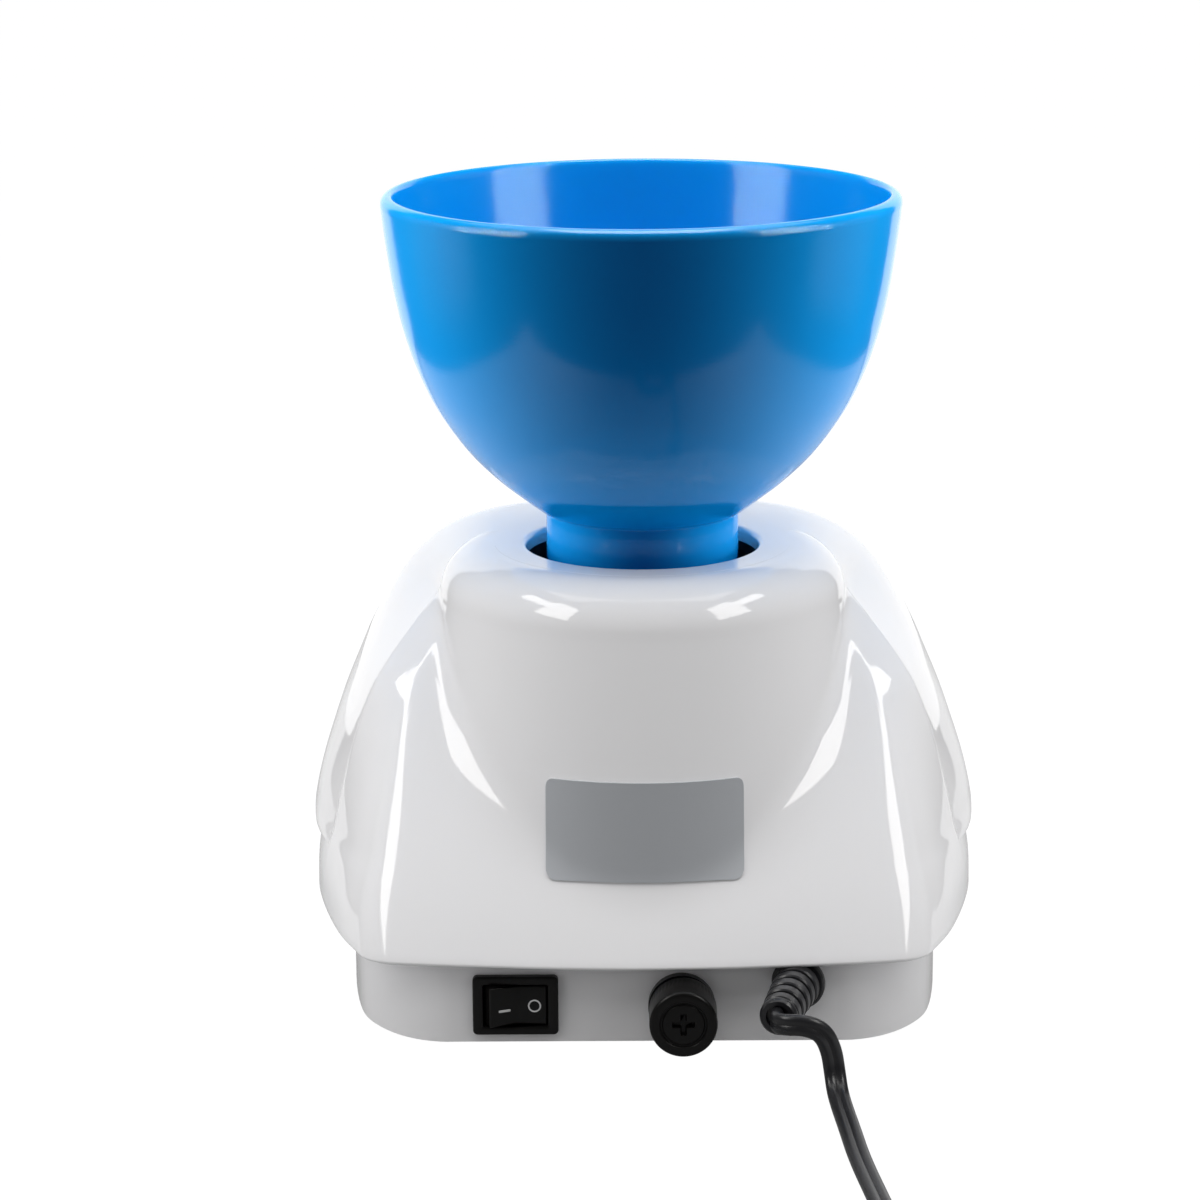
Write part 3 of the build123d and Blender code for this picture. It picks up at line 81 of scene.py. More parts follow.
# ------------------------------------------------------------------ materials
def material(
    name,
    color,
    rough=0.4,
    metallic=0.0,
    coat=0.0,
    coat_rough=0.05,
    specular=0.5,
    ior=1.5,
    vary=0.04,
    rough_vary=0.06,
    grain=(900.0, 0.08),
    broad=18.0,
    transmission=0.0,
    anisotropic=0.0,
    subsurface=0.0,
    emission=None,
    bands=None,
    stretch=(1, 1, 1),
):
    """Principled material with broad colour variation, uneven roughness and a fine surface grain."""
    mat = bpy.data.materials.new(name)
    mat.use_nodes = True
    nt = mat.node_tree
    shader = nt.nodes["Principled BSDF"]
    place = nt.nodes.new("ShaderNodeTexCoord")
    mapping = nt.nodes.new("ShaderNodeMapping")
    mapping.inputs["Scale"].default_value = stretch
    nt.links.new(place.outputs["Object"], mapping.inputs["Vector"])
    wide = nt.nodes.new("ShaderNodeTexNoise")
    wide.inputs["Scale"].default_value = broad
    wide.inputs["Detail"].default_value = 4
    nt.links.new(mapping.outputs["Vector"], wide.inputs["Vector"])
    tint = nt.nodes.new("ShaderNodeValToRGB")
    low = [max(0.0, c * (1 - vary)) for c in color[:3]]
    high = [min(1.0, c * (1 + vary)) for c in color[:3]]
    tint.color_ramp.elements[0].position, tint.color_ramp.elements[1].position = 0.3, 0.7
    tint.color_ramp.elements[0].color = (*low, 1)
    tint.color_ramp.elements[1].color = (*high, 1)
    nt.links.new(wide.outputs["Fac"], tint.inputs["Fac"])
    nt.links.new(tint.outputs["Color"], shader.inputs["Base Color"])
    fine = nt.nodes.new("ShaderNodeTexNoise")
    fine.inputs["Scale"].default_value = grain[0]
    fine.inputs["Detail"].default_value = 3
    nt.links.new(mapping.outputs["Vector"], fine.inputs["Vector"])
    spread = nt.nodes.new("ShaderNodeMapRange")
    spread.inputs["From Min"].default_value, spread.inputs["From Max"].default_value = 0.3, 0.7
    spread.inputs["To Min"].default_value = max(0.02, rough - rough_vary)
    spread.inputs["To Max"].default_value = min(1.0, rough + rough_vary)
    nt.links.new(wide.outputs["Fac"], spread.inputs["Value"])
    nt.links.new(spread.outputs["Result"], shader.inputs["Roughness"])
    bump = nt.nodes.new("ShaderNodeBump")
    bump.inputs["Strength"].default_value = grain[1]
    bump.inputs["Distance"].default_value = 0.0001
    nt.links.new(fine.outputs["Fac"], bump.inputs["Height"])
    last = bump
    if bands:
        # lines round the spindle axis, one above the other
        wave = nt.nodes.new("ShaderNodeTexWave")
        wave.wave_type, wave.bands_direction = "BANDS", "Z"
        wave.inputs["Scale"].default_value = bands[0]
        wave.inputs["Distortion"].default_value = 1.2
        wave.inputs["Detail"].default_value = 2
        nt.links.new(place.outputs["Object"], wave.inputs["Vector"])
        second = nt.nodes.new("ShaderNodeBump")
        second.inputs["Strength"].default_value = bands[1]
        second.inputs["Distance"].default_value = 0.00005
        nt.links.new(wave.outputs["Fac"], second.inputs["Height"])
        nt.links.new(bump.outputs["Normal"], second.inputs["Normal"])
        last = second
    nt.links.new(last.outputs["Normal"], shader.inputs["Normal"])
    shader.inputs["Metallic"].default_value = metallic
    shader.inputs["IOR"].default_value = ior
    shader.inputs["Specular IOR Level"].default_value = specular
    shader.inputs["Coat Weight"].default_value = coat
    shader.inputs["Coat Roughness"].default_value = coat_rough
    shader.inputs["Transmission Weight"].default_value = transmission
    shader.inputs["Anisotropic"].default_value = anisotropic
    if subsurface:
        shader.inputs["Subsurface Weight"].default_value = subsurface
        shader.inputs["Subsurface Radius"].default_value = (0.2, 0.6, 1.0)
        shader.inputs["Subsurface Scale"].default_value = 0.003
    if emission:
        shader.inputs["Emission Color"].default_value = (*emission[0], 1)
        shader.inputs["Emission Strength"].default_value = emission[1]
    return mat


MAT = {
    "white_shell": material("white_shell", (0.84, 0.835, 0.845), 0.055, vary=0.008, rough_vary=0.02, grain=(160, 0.04), broad=9),
    "rubber_feet": material("rubber_feet", (0.022, 0.022, 0.024), 0.75, vary=0.2, grain=(1600, 0.35)),
    "zinc_steel": material("zinc_steel", (0.62, 0.63, 0.65), 0.3, metallic=1, vary=0.06, grain=(1200, 0.1)),
    "well_black": material("well_black", (0.012, 0.012, 0.014), 0.4, vary=0.2, grain=(1500, 0.2)),
    "sheet_aluminium": material("sheet_aluminium", (0.7, 0.71, 0.72), 0.38, metallic=1, vary=0.04, grain=(900, 0.12), stretch=(1, 14, 1)),
    "bearing_steel": material("bearing_steel", (0.58, 0.59, 0.61), 0.2, metallic=1, vary=0.04, grain=(1400, 0.06), stretch=(1, 1, 9)),
    "grey_nylon": material("grey_nylon", (0.58, 0.59, 0.58), 0.5, vary=0.05, grain=(1100, 0.2), subsurface=0.1),
    # the bowl's faint blue emission is painted light: a glow that stands in for light passing through its translucent
    # wall and lifts its dark face
    "bowl_blue": material("bowl_blue", (0.0015, 0.268, 0.66), 0.14, emission=((0.0, 0.0, 1.0), 0.03), specular=0.36, vary=0.04, rough_vary=0.04, grain=(420, 0.06), broad=14, bands=(260, 0.05)),
    "insert_white": material("insert_white", (0.82, 0.82, 0.81), 0.45, vary=0.03, grain=(1100, 0.15)),
    "motor_steel": material("motor_steel", (0.52, 0.53, 0.55), 0.33, metallic=1, vary=0.05, grain=(1300, 0.1), stretch=(1, 1, 12)),
    "black_plastic": material("black_plastic", (0.0045, 0.0042, 0.004), 0.3, specular=0.26, vary=0.25, rough_vary=0.06, grain=(2600, 0.2)),
    "belt_rubber": material("belt_rubber", (0.02, 0.02, 0.02), 0.7, vary=0.2, grain=(2000, 0.3), stretch=(1, 1, 6)),
    "panel_grey": material("panel_grey", (0.30, 0.33, 0.37), 0.42, vary=0.05, grain=(2400, 0.3)),
    "display_tint": material("display_tint", (0.02, 0.022, 0.025), 0.06, coat=0.6, coat_rough=0.02, vary=0.1, rough_vary=0.02, grain=(300, 0.02)),
    "circuit_board": material("circuit_board", (0.02, 0.16, 0.06), 0.35, coat=0.3, vary=0.2, grain=(700, 0.3)),
    "key_blue": material("key_blue", (0.012, 0.12, 0.46), 0.3, coat=0.2, vary=0.05, grain=(1800, 0.2)),
    "transformer_steel": material("transformer_steel", (0.16, 0.15, 0.15), 0.4, coat=0.3, vary=0.2, grain=(500, 0.4), stretch=(1, 1, 30)),
    "capacitor_sleeve": material("capacitor_sleeve", (0.02, 0.03, 0.12), 0.3, vary=0.15, grain=(1200, 0.1)),
    "terminal_brass": material("terminal_brass", (0.72, 0.52, 0.24), 0.28, metallic=1, vary=0.08, grain=(1400, 0.1), stretch=(8, 1, 1)),
    "fuse_glass": material("fuse_glass", (0.8, 0.84, 0.84), 0.08, vary=0.02, rough_vary=0.02, grain=(300, 0.02), transmission=0.6),
    "plate_silver": material("plate_silver", (0.56, 0.58, 0.61), 0.3, metallic=0.4, vary=0.015, rough_vary=0.02, grain=(1500, 0.03), broad=12),
    "cord_rubber": material("cord_rubber", (0.016, 0.016, 0.018), 0.3, vary=0.2, rough_vary=0.08, grain=(1900, 0.18)),
    "tie_black": material("tie_black", (0.012, 0.012, 0.012), 0.5, vary=0.2, grain=(1700, 0.2)),
    "wire_pvc": material("wire_pvc", (0.2, 0.08, 0.04), 0.4, vary=0.1, grain=(1500, 0.1)),
}
MARK = material("mark_grey", (0.62, 0.62, 0.62), 0.5, vary=0.03, grain=(2200, 0.15))
MARK_WHITE = material("mark_white", (0.82, 0.84, 0.86), 0.45, vary=0.03, grain=(2200, 0.15))
DIGIT = material("digit_off", (0.05, 0.055, 0.06), 0.3, vary=0.1, grain=(900, 0.05))

for entry in frame["record"]["subparts"]:
    node = frame["nodes"].get(entry["node"])
    if node is None:
        continue
    finish = MAT[entry["material_slot"]]
    if node.data.materials:
        for k in range(len(node.data.materials)):
            node.data.materials[k] = finish
    else:
        node.data.materials.append(finish)


# ------------------------------------------------------------------ mesh helpers
def mesh_piece(name, verts, faces, mat, body, angle=32.0):
    me = bpy.data.meshes.new(name)
    me.from_pydata([tuple(float(c) for c in v) for v in verts], [], faces)
    bm = bmesh.new()
    bm.from_mesh(me)
    bmesh.ops.remove_doubles(bm, verts=bm.verts, dist=1e-7)
    bmesh.ops.recalc_face_normals(bm, faces=bm.faces)
    bm.to_mesh(me)
    bm.free()
    me.materials.append(mat)
    me.polygons.foreach_set("use_smooth", [True] * len(me.polygons))
    me.set_sharp_from_angle(angle=math.radians(angle))
    ob = bpy.data.objects.new(name, me)
    scene.collection.objects.link(ob)
    if body:
        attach(ob, body)
    return ob


def rounded(points, closed=True, step=10.0):
    """Outline with each corner (u, v, radius) replaced by an arc."""
    n = len(points)
    out = []
    for i, (u, v, *rest) in enumerate(points):
        rad = rest[0] if rest else 0.0
        p = np.array((u, v), float)
        if rad <= 0 or (not closed and i in (0, n - 1)):
            out.append(tuple(p))
            continue
        a = np.array(points[i - 1][:2], float)
        b = np.array(points[(i + 1) % n][:2], float)
        da, db = a - p, b - p
        la, lb = np.linalg.norm(da), np.linalg.norm(db)
        da, db = da / la, db / lb
        turn = math.pi - math.acos(max(-1, min(1, float(da @ db))))
        if turn < 1e-3:
            out.append(tuple(p))
            continue
        t = min(rad * math.tan(turn / 2), 0.49 * la, 0.49 * lb)
        rad = t / math.tan(turn / 2)
        mid = (da + db) / np.linalg.norm(da + db)
        centre = p + mid * math.hypot(rad, t)
        s, e = p + da * t - centre, p + db * t - centre
        k = max(2, int(math.ceil(math.degrees(turn) / step)))
        a0, a1 = math.atan2(s[1], s[0]), math.atan2(e[1], e[0])
        d = (a1 - a0 + math.pi) % (2 * math.pi) - math.pi
        for j in range(k + 1):
            q = a0 + d * j / k
            out.append((centre[0] + rad * math.cos(q), centre[1] + rad * math.sin(q)))
    return out


def lathe(name, profile, mat, body, segs=96, frame_m=None, closed=False, wobble=None, angle=32.0):
    """Turned piece: profile of (radius, height) in mm about the local Z axis of frame_m."""
    verts, rings, faces = [], [], []
    for r, h in profile:
        if r < 1e-6:
            rings.append([len(verts)])
            verts.append((0, 0, h))
        else:
            ring = []
            for k in range(segs):
                a = 2 * math.pi * k / segs
                rr, hh = (r, h) if wobble is None else wobble(r, h, a)
                ring.append(len(verts))
                verts.append((rr * math.cos(a), rr * math.sin(a), hh))
            rings.append(ring)
    pairs = list(zip(rings, rings[1:]))
    if closed:
        pairs.append((rings[-1], rings[0]))
    for a, b in pairs:
        for k in range(segs):
            q = (k + 1) % segs
            if len(a) == 1 and len(b) == 1:
                continue
            if len(a) == 1:
                faces.append((a[0], b[k], b[q]))
            elif len(b) == 1:
                faces.append((a[k], b[0], a[q]))
            else:
                faces.append((a[k], b[k], b[q], a[q]))
    m = frame_m or Matrix.Translation((0, AY, 0))
    done = [(m @ Vector(v)) / 1000 for v in verts]
    return mesh_piece(name, done, faces, mat, body, angle)


def offset(outline, amount):
    """Closed outline moved inwards."""
    pts = np.array(outline, float)
    area = 0.5 * np.sum(pts[:, 0] * np.roll(pts[:, 1], -1) - np.roll(pts[:, 0], -1) * pts[:, 1])
    prev, nxt = np.roll(pts, 1, 0), np.roll(pts, -1, 0)
    e1, e2 = pts - prev, nxt - pts
    e1 /= np.maximum(np.linalg.norm(e1, axis=1, keepdims=True), 1e-9)
    e2 /= np.maximum(np.linalg.norm(e2, axis=1, keepdims=True), 1e-9)
    n1 = np.stack([-e1[:, 1], e1[:, 0]], 1)
    n2 = np.stack([-e2[:, 1], e2[:, 0]], 1)
    n = n1 + n2
    ln = np.maximum(np.linalg.norm(n, axis=1, keepdims=True), 1e-6)
    n = n / ln
    scale = 1 / np.maximum((n * n1).sum(1, keepdims=True), 0.5)
    sign = 1 if area > 0 else -1
    return pts + sign * n * scale * amount


def slab(name, outline, profile, mat, body, frame_m, caps=(True, True), angle=32.0, build=True):
    """Plate or block: the outline at each (inset, height) of the profile, closed at both ends."""
    verts, faces = [], []
    n = len(outline)
    for inset_by, h in profile:
        for u, v in offset(outline, inset_by) if inset_by else outline:
            verts.append(frame_m @ Vector((u, v, h)) / 1000)
    for i in range(len(profile) - 1):
        for k in range(n):
            q = (k + 1) % n
            faces.append((i * n + k, i * n + q, (i + 1) * n + q, (i + 1) * n + k))
    if caps[0]:
        faces.append(tuple(range(n))[::-1])
    if caps[1]:
        faces.append(tuple((len(profile) - 1) * n + k for k in range(n)))
    if not build:
        return verts, faces
    return mesh_piece(name, verts, faces, mat, body, angle)


def join(parts, name, mat, body, angle=32.0):
    """One piece from several (verts, faces)."""
    verts, faces = [], []
    for v, f in parts:
        base = len(verts)
        verts += list(v)
        faces += [tuple(i + base for i in face) for face in f]
    return mesh_piece(name, verts, faces, mat, body, angle)


def edge(height, radius, low=0.0, base=0.0, steps=4):
    """Profile of a block with a rounded upper edge, and a small one below if base is given."""
    out = []
    if base:
        for k in range(steps + 1):
            a = math.pi / 2 * k / steps
            out.append((base * (1 - math.sin(a)), low + base * (1 - math.cos(a))))
    else:
        out.append((0.0, low))
    for k in range(steps + 1):
        a = math.pi / 2 * k / steps
        out.append((radius * (1 - math.cos(a)), height - radius * (1 - math.sin(a))))
    return out


def frame_at(origin, x_dir, z_dir):
    z = Vector(z_dir).normalized()
    x = Vector(x_dir)
    x = (x - x.dot(z) * z).normalized()
    y = z.cross(x)
    o = Vector(origin)
    return Matrix(((x.x, y.x, z.x, o.x), (x.y, y.y, z.y, o.y), (x.z, y.z, z.z, o.z), (0, 0, 0, 1)))


def rear_frame(x, z, y=63.0):
    """x to the picture's right, y up, z out of the rear wall; mm."""
    return frame_at((x, y + AY, z), (-1, 0, 0), (0, 1, 0))


def catmull(points, per=8, closed=False):
    pts = np.array(points, float)
    n = len(pts)
    out = []
    last = n if closed else n - 1
    for i in range(last):
        p1, p2 = pts[i], pts[(i + 1) % n]
        p0 = pts[i - 1] if (closed or i > 0) else 2 * p1 - p2
        p3 = pts[(i + 2) % n] if (closed or i + 2 < n) else 2 * p2 - p1
        for k in range(per):
            t = k / per
            out.append(
                0.5
                * (
                    2 * p1
                    + (p2 - p0) * t
                    + (2 * p0 - 5 * p1 + 4 * p2 - p3) * t * t
                    + (3 * p1 - p0 - 3 * p2 + p3) * t**3
                )
            )
    if not closed:
        out.append(pts[-1])
    return np.array(out)


def interp(table, z):
    n = len(table)
    if z <= table[0][0]:
        return table[0][1]
    if z >= table[-1][0]:
        return table[-1][1]
    for i in range(n - 1):
        (z0, v0), (z1, v1) = table[i], table[i + 1]
        if z <= z1:
            def slope(j):
                a, b = max(0, j - 1), min(n - 1, j + 1)
                return (table[b][1] - table[a][1]) / (table[b][0] - table[a][0])
            h = z1 - z0
            t = (z - z0) / h
            return (
                (2 * t**3 - 3 * t**2 + 1) * v0
                + (t**3 - 2 * t**2 + t) * h * slope(i)
                + (-2 * t**3 + 3 * t**2) * v1
                + (t**3 - t**2) * h * slope(i + 1)
            )
    return table[-1][1]


def resample(curve, count):
    """The curve again with count points evenly along it."""
    seg = np.linalg.norm(np.diff(curve, axis=0), axis=1)
    s = np.concatenate([[0], np.cumsum(seg)])
    t = np.linspace(0, s[-1], count)
    return np.stack([np.interp(t, s, curve[:, k]) for k in range(curve.shape[1])], 1)


def smax(a, b, k):
    h = np.maximum(k - np.abs(a - b), 0) / k
    return np.maximum(a, b) + h * h * k / 4


# ------------------------------------------------------------------ cord
CORD_W, CORD_T = 5.2, 3.0
LAYER = 3.3
ROUTE = [
    (-31.4, 87.0, 18.9), (-30.4, 90.25, 19.0), (-32.4, 93.6, 19.3), (-37.2, 94.9, 19.8), (-41.7, 94.4, 17.9),
    (-43.9, 93.7, 13.0), (-44.7, 94.2, 7.5), (-45.2, 97.4, 3.8), (-46.0, 104.2, 2.3), (-47.0, 115.0, 1.8),
    (-48.2, 133.0, 1.7), (-50.8, 155.0, 1.7), (-53.6, 178.0, 1.7), (-55.9, 200.0, 1.7), (-57.3, 217.0, 1.7),
]
COIL_AT = (-22.0, 230.0)
turns = []  # (radius, height) of each turn
for layer, radii in enumerate(([35, 30, 25], [25, 30, 35], [34.5, 30.5])):
    for r in radii:
        turns.append((r, 1.7 + LAYER * layer))
PER = 16
coil_points = []
for i, (r, h) in enumerate(turns):
    last_turn = i == len(turns) - 1
    for k in range(PER):
        if last_turn and k > PER // 4:
            break
        r1, h1 = (r, h) if last_turn else turns[i + 1]
        u = min(1.0, max(0.0, (k - 0.72 * PER) / (0.28 * PER)))
        u = u * u * (3 - 2 * u)
        a = math.pi - 2 * math.pi * k / PER
        rr = (r + (r1 - r) * u) * 1.013
        coil_points.append(
            (COIL_AT[0] + rr * math.cos(a), COIL_AT[1] + rr * math.sin(a), h + (h1 - h) * u)
        )
TAIL = [(-14.0, 261.6, 8.3), (-2.0, 261.3, 8.3), (9.0, 262.4, 7.8), (19.5, 262.5, 7.5)]
route = [at(*p) for p in ROUTE + coil_points[0:] + TAIL]
line_curve = bpy.data.curves.new("cord_line", "CURVE")
line_curve.dimensions = "3D"
spline = line_curve.splines.new("NURBS")
spline.points.add(len(route) - 1)
for p, q in zip(spline.points, route):
    p.co = (q.x, q.y, q.z, 1)
spline.order_u = 3
spline.use_endpoint_u = True
spline.resolution_u = 6
line_ob = bpy.data.objects.new("cord_line", line_curve)
scene.collection.objects.link(line_ob)
bpy.context.view_layer.update()
line_mesh = bpy.data.meshes.new_from_object(line_ob.evaluated_get(bpy.context.evaluated_depsgraph_get()))
line = np.array([v.co for v in line_mesh.vertices], float)
bpy.data.objects.remove(line_ob)
keep = [0]
for i in range(1, len(line)):
    if np.linalg.norm(line[i] - line[keep[-1]]) > 2e-4:
        keep.append(i)
line = line[keep]
if np.linalg.norm(line[0] - np.array(route[0])) > np.linalg.norm(line[-1] - np.array(route[0])):
    line = line[::-1]
tangent = np.gradient(line, axis=0)
tangent /= np.linalg.norm(tangent, axis=1, keepdims=True)
floor_from = int(np.argmax(line[:, 2] < 0.0032))
normal = np.zeros_like(line)
for i in range(floor_from, len(line)):
    v = np.array((0, 0, 1.0)) - tangent[i][2] * tangent[i]
    normal[i] = v / np.linalg.norm(v)
for i in range(floor_from - 1, -1, -1):
    v = normal[i + 1] - (normal[i + 1] @ tangent[i]) * tangent[i]
    normal[i] = v / np.linalg.norm(v)
side = np.cross(tangent, normal)
section = []
for k in range(28):
    a = 2 * math.pi * k / 28
    c, s = math.cos(a), math.sin(a)
    u = CORD_W / 2 * math.copysign(abs(c) ** 0.72, c)
    v = CORD_T / 2 * math.copysign(abs(s) ** 0.8, s)
    v *= 1 - 0.34 * math.exp(-((u / 0.55) ** 2))
    section.append((u, v))
verts, faces = [], []
n = len(section)
for p, w, h in zip(line, side, normal):
    for u, v in section:
        verts.append(p + w * u / 1000 + h * v / 1000)
for i in range(len(line) - 1):
    for k in range(n):
        q = (k + 1) % n
        faces.append((i * n + k, i * n + q, (i + 1) * n + q, (i + 1) * n + k))
faces.append(tuple(range(n))[::-1])
faces.append(tuple((len(line) - 1) * n + k for k in range(n)))
cord = mesh_piece("mains_lead", verts, faces, MAT["cord_rubber"], "machine", 50)
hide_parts("power_cord", "cord_coil", "cord_tail")

# strain relief: a flange and ribs that taper towards the cord
root, tip = at(-37.6, 63.0, 19.3) * 1000, at(-31.4, 87.6, 18.9) * 1000
axis_m = frame_at(root, (1, 0, 0), tip - root)
long = (tip - root).length
profile = [(0.0, -1.0), (4.6, -1.0), (4.6, 0.0), (6.3, 0.0)]
profile += [(6.6, 0.3), (6.6, 1.6), (6.2, 2.0), (4.4, 2.1)]
ribs = 5
gap, thick = 1.15, 3.0
h = 3.0
for i in range(ribs):
    big = 5.75 - 0.24 * i
    wide = 3.25 - 0.05 * i
    profile += [(big - 1.5, h), (big - 0.35, h + 0.05), (big, h + 0.4), (big - 0.05, h + wide - 0.4), (big - 0.4, h + wide - 0.05), (big - 1.5, h + wide)]
    h += wide + gap
profile += [(3.3, h - 0.9), (4.55, h - 0.8), (4.75, h - 0.4), (4.6, long - 0.6), (4.1, long), (3.0, long - 0.1), (2.9, long - 1.2), (0.0, long - 1.2)]
relief = lathe("strain_relief_ribbed", profile, MAT["cord_rubber"], "machine", 56, axis_m, angle=40)
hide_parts("strain_relief")

# plug: body with a waist, finger grips and a collar for the cord
PLUG = frame_at(at(18.0, 262.5, 7.5) * 1000, (0, 1, 0), (1, 0, 0))


def oval(w, h, r):
    return rounded([(w / 2, h / 2, r), (-w / 2, h / 2, r), (-w / 2, -h / 2, r), (w / 2, -h / 2, r)], step=15)


stations = [
    (0.0, 7.0, 5.0), (0.3, 8.0, 6.2), (2.2, 8.2, 6.5), (2.6, 7.0, 5.4), (3.6, 7.0, 5.4), (4.0, 8.8, 7.2), (5.8, 9.0, 7.4), (6.2, 7.8, 6.2),
    (7.2, 7.8, 6.2), (7.6, 9.6, 8.2), (9.4, 10.4, 8.8), (12.0, 17.0, 12.0), (14.5, 22.0, 13.0), (17.5, 23.4, 13.0), (18.3, 22.4, 12.0),
    (19.3, 22.4, 12.0), (20.0, 23.4, 12.8), (21.0, 23.4, 12.8), (21.7, 22.4, 12.0), (22.7, 22.4, 12.0), (23.4, 23.6, 13.0), (24.4, 23.6, 13.0),
    (25.1, 22.6, 12.2), (26.1, 22.6, 12.2), (26.9, 24.4, 14.0), (31.8, 24.8, 14.4), (32.7, 24.2, 13.8), (33.0, 23.2, 12.8),
]
verts, faces = [], []
for d, w, hh in stations:
    ring = oval(w, hh, min(w, hh) * 0.3)
    n = len(ring)
    verts += [PLUG @ Vector((u, v, d)) / 1000 for u, v in ring]
for i in range(len(stations) - 1):
    for k in range(n):
        q = (k + 1) % n
        faces.append((i * n + k, i * n + q, (i + 1) * n + q, (i + 1) * n + k))
faces += [tuple(range(n))[::-1], tuple((len(stations) - 1) * n + k for k in range(n))]
plug = mesh_piece("mains_plug", verts, faces, MAT["cord_rubber"], "machine", 40)
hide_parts("plug_body")

# tie round the coil: flat band, its twisted ends on top
tie_parts = []
tie_m = frame_at(at(COIL_AT[0], COIL_AT[1] - 30.2, 0) * 1000, (0, 1, 0), (1, 0, 0))
inner = [(-8.3, 0.1, 1.0), (8.3, 0.1, 1.0), (8.3, 10.6, 2.4), (-8.3, 10.6, 2.4)]
outer = [(-9.0, 0.0, 1.4), (9.0, 0.0, 1.4), (9.0, 11.3, 3.0), (-9.0, 11.3, 3.0)]
ri, ro = resample(np.array(rounded(inner) + rounded(inner)[:1]), 61)[:-1], resample(np.array(rounded(outer) + rounded(outer)[:1]), 61)[:-1]
verts, faces = [], []
for loop, x in ((ri, -2.6), (ro, -2.9), (ro, 2.9), (ri, 2.6)):
    verts += [tie_m @ Vector((u, v, x)) / 1000 for u, v in loop]
for i in range(4):
    for k in range(60):
        q = (k + 1) % 60
        a, b = i * 60, ((i + 1) % 4) * 60
        faces.append((a + k, a + q, b + q, b + k))
tie_parts.append((verts, faces))
for sgn in (-1, 1):
    verts, faces = [], []
    pts = [
        (0.4 * sgn, 11.2, 0.0), (1.0 * sgn, 12.6, 0.8 * sgn), (-0.8 * sgn, 13.6, -0.6 * sgn), (1.2 * sgn, 14.6, 1.0 * sgn),
        (4.0 * sgn, 14.3, 2.6 * sgn), (8.0 * sgn, 12.6, 4.6 * sgn),
    ]
    path = catmull(pts, 6)
    for j, p in enumerate(path):
        t = path[min(j + 1, len(path) - 1)] - path[max(j - 1, 0)]
        t = Vector(t).normalized()
        a = t.cross(Vector((0, 0, 1)))
        a = a.normalized() if a.length > 1e-3 else Vector((1, 0, 0))
        b = t.cross(a)
        for k in range(8):
            q = 2 * math.pi * k / 8
            verts.append(tie_m @ (Vector(p) + a * 0.55 * math.cos(q) + b * 0.9 * math.sin(q)) / 1000)
    for j in range(len(path) - 1):
        for k in range(8):
            q = (k + 1) % 8
            faces.append((j * 8 + k, j * 8 + q, (j + 1) * 8 + q, (j + 1) * 8 + k))
    faces += [tuple(range(8))[::-1], tuple((len(path) - 1) * 8 + k for k in range(8))]
    tie_parts.append((verts, faces))
tie = join(tie_parts, "lead_tie", MAT["tie_black"], "machine", 45)
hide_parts("cord_tie")

# ------------------------------------------------------------------ housing
Z_LIP, Z_WING, Z_TOP, SEAM = 25.3, 41.5, 115.4, 20.0
R_WELL, R_FLAT, R_EDGE, R_ROUND, SLOPE = 29.5, 43.0, 8.0, 12.5, 0.15
LIP = [
    (0, 71.0), (22, 70.2), (42, 68.3), (56, 66.7), (64.5, 65.0), (69.2, 61.6), (71.6, 56.4),
    (75.6, 46.0), (79.0, 33.5), (81.9, 20.0), (83.8, 8.0), (84.9, -6.0), (85.2, -22.0),
    (84.2, -40.0), (80.5, -58.0), (72.5, -74.0), (58.0, -86.0), (38.0, -92.0), (19.0, -93.8), (0, -94.2),
]
XC = [
    (25.3, 81.9), (33.5, 81.6), (41.5, 80.1), (46.1, 78.7), (50, 77.9), (55.4, 76.7), (64.6, 74.4), (72.5, 72.1),
    (81.9, 68.4), (85.9, 66.2), (92.8, 61.0), (97.3, 56.3), (100.2, 52.6), (102.9, 49.3), (105.0, 46.0), (110, 42.0),
]
WING_A = [
    (41.5, 86.8), (48.8, 85.3), (56, 83.4), (63, 81.1), (70.6, 78.4), (78.3, 75.1), (86, 71.7), (93.9, 67.3),
    (97.8, 64.9), (101.7, 61.9), (105.6, 58.3), (109.4, 53.9), (111.6, 51.0), (113.2, 48.3), (114.4, 45.4), (115.1, 42.4), (115.35, 39.6),
]
WING_C = [(41.5, 0.0), (56, -12), (70.6, -22), (86, -30), (97.8, -34), (109.4, -34), (115.4, -20)]
WING_F = [
    (41.5, 96.0), (50, 94.6), (60, 91.6), (70, 87.6), (80, 82.4), (90, 76.4), (98, 71), (104, 66.3), (109.4, 61.5),
    (111.6, 59.3), (113.2, 57.4), (114.4, 55.0), (115.1, 52.2), (115.35, 49.5),
]
WING_B = [(41.5, 56), (54, 72), (74, 105), (91, 108), (102, 100), (109.4, 92), (115.4, 66)]


def hood_y(z):
    t = z - Z_LIP
    return 1 - 0.0085 * t - 0.00004 * t * t


def tower_r(z):
    zf = Z_TOP - R_ROUND
    side = R_FLAT + R_EDGE + SLOPE * (Z_TOP - R_EDGE - max(min(z, zf), 0))
    if z > zf:
        return side - R_ROUND + math.sqrt(max(0.0, R_ROUND**2 - (z - zf) ** 2))
    return side


lip_curve = catmull([(-22, 70.2)] + LIP + [(-19.0, -93.8)], 10)
lip_curve = lip_curve[10:-10]
split = int(np.argmin(np.abs(lip_curve[:, 1] - SEAM) + (lip_curve[:, 0] < 60) * 99))
lip_rear, lip_front = lip_curve[: split + 1].copy(), lip_curve[split:].copy()
lip_rear[-1] = lip_front[0] = (81.9, SEAM)


def softplus(x, w):
    return w * math.log1p(math.exp(x / w)) if x / w < 30 else x


def seam_y(z):
    """Where rear shell and front hood meet: a plane low down, running forward under the dome higher up."""
    return SEAM - softplus(SEAM - (71 * hood_y(z) - 6.5), 3.0)


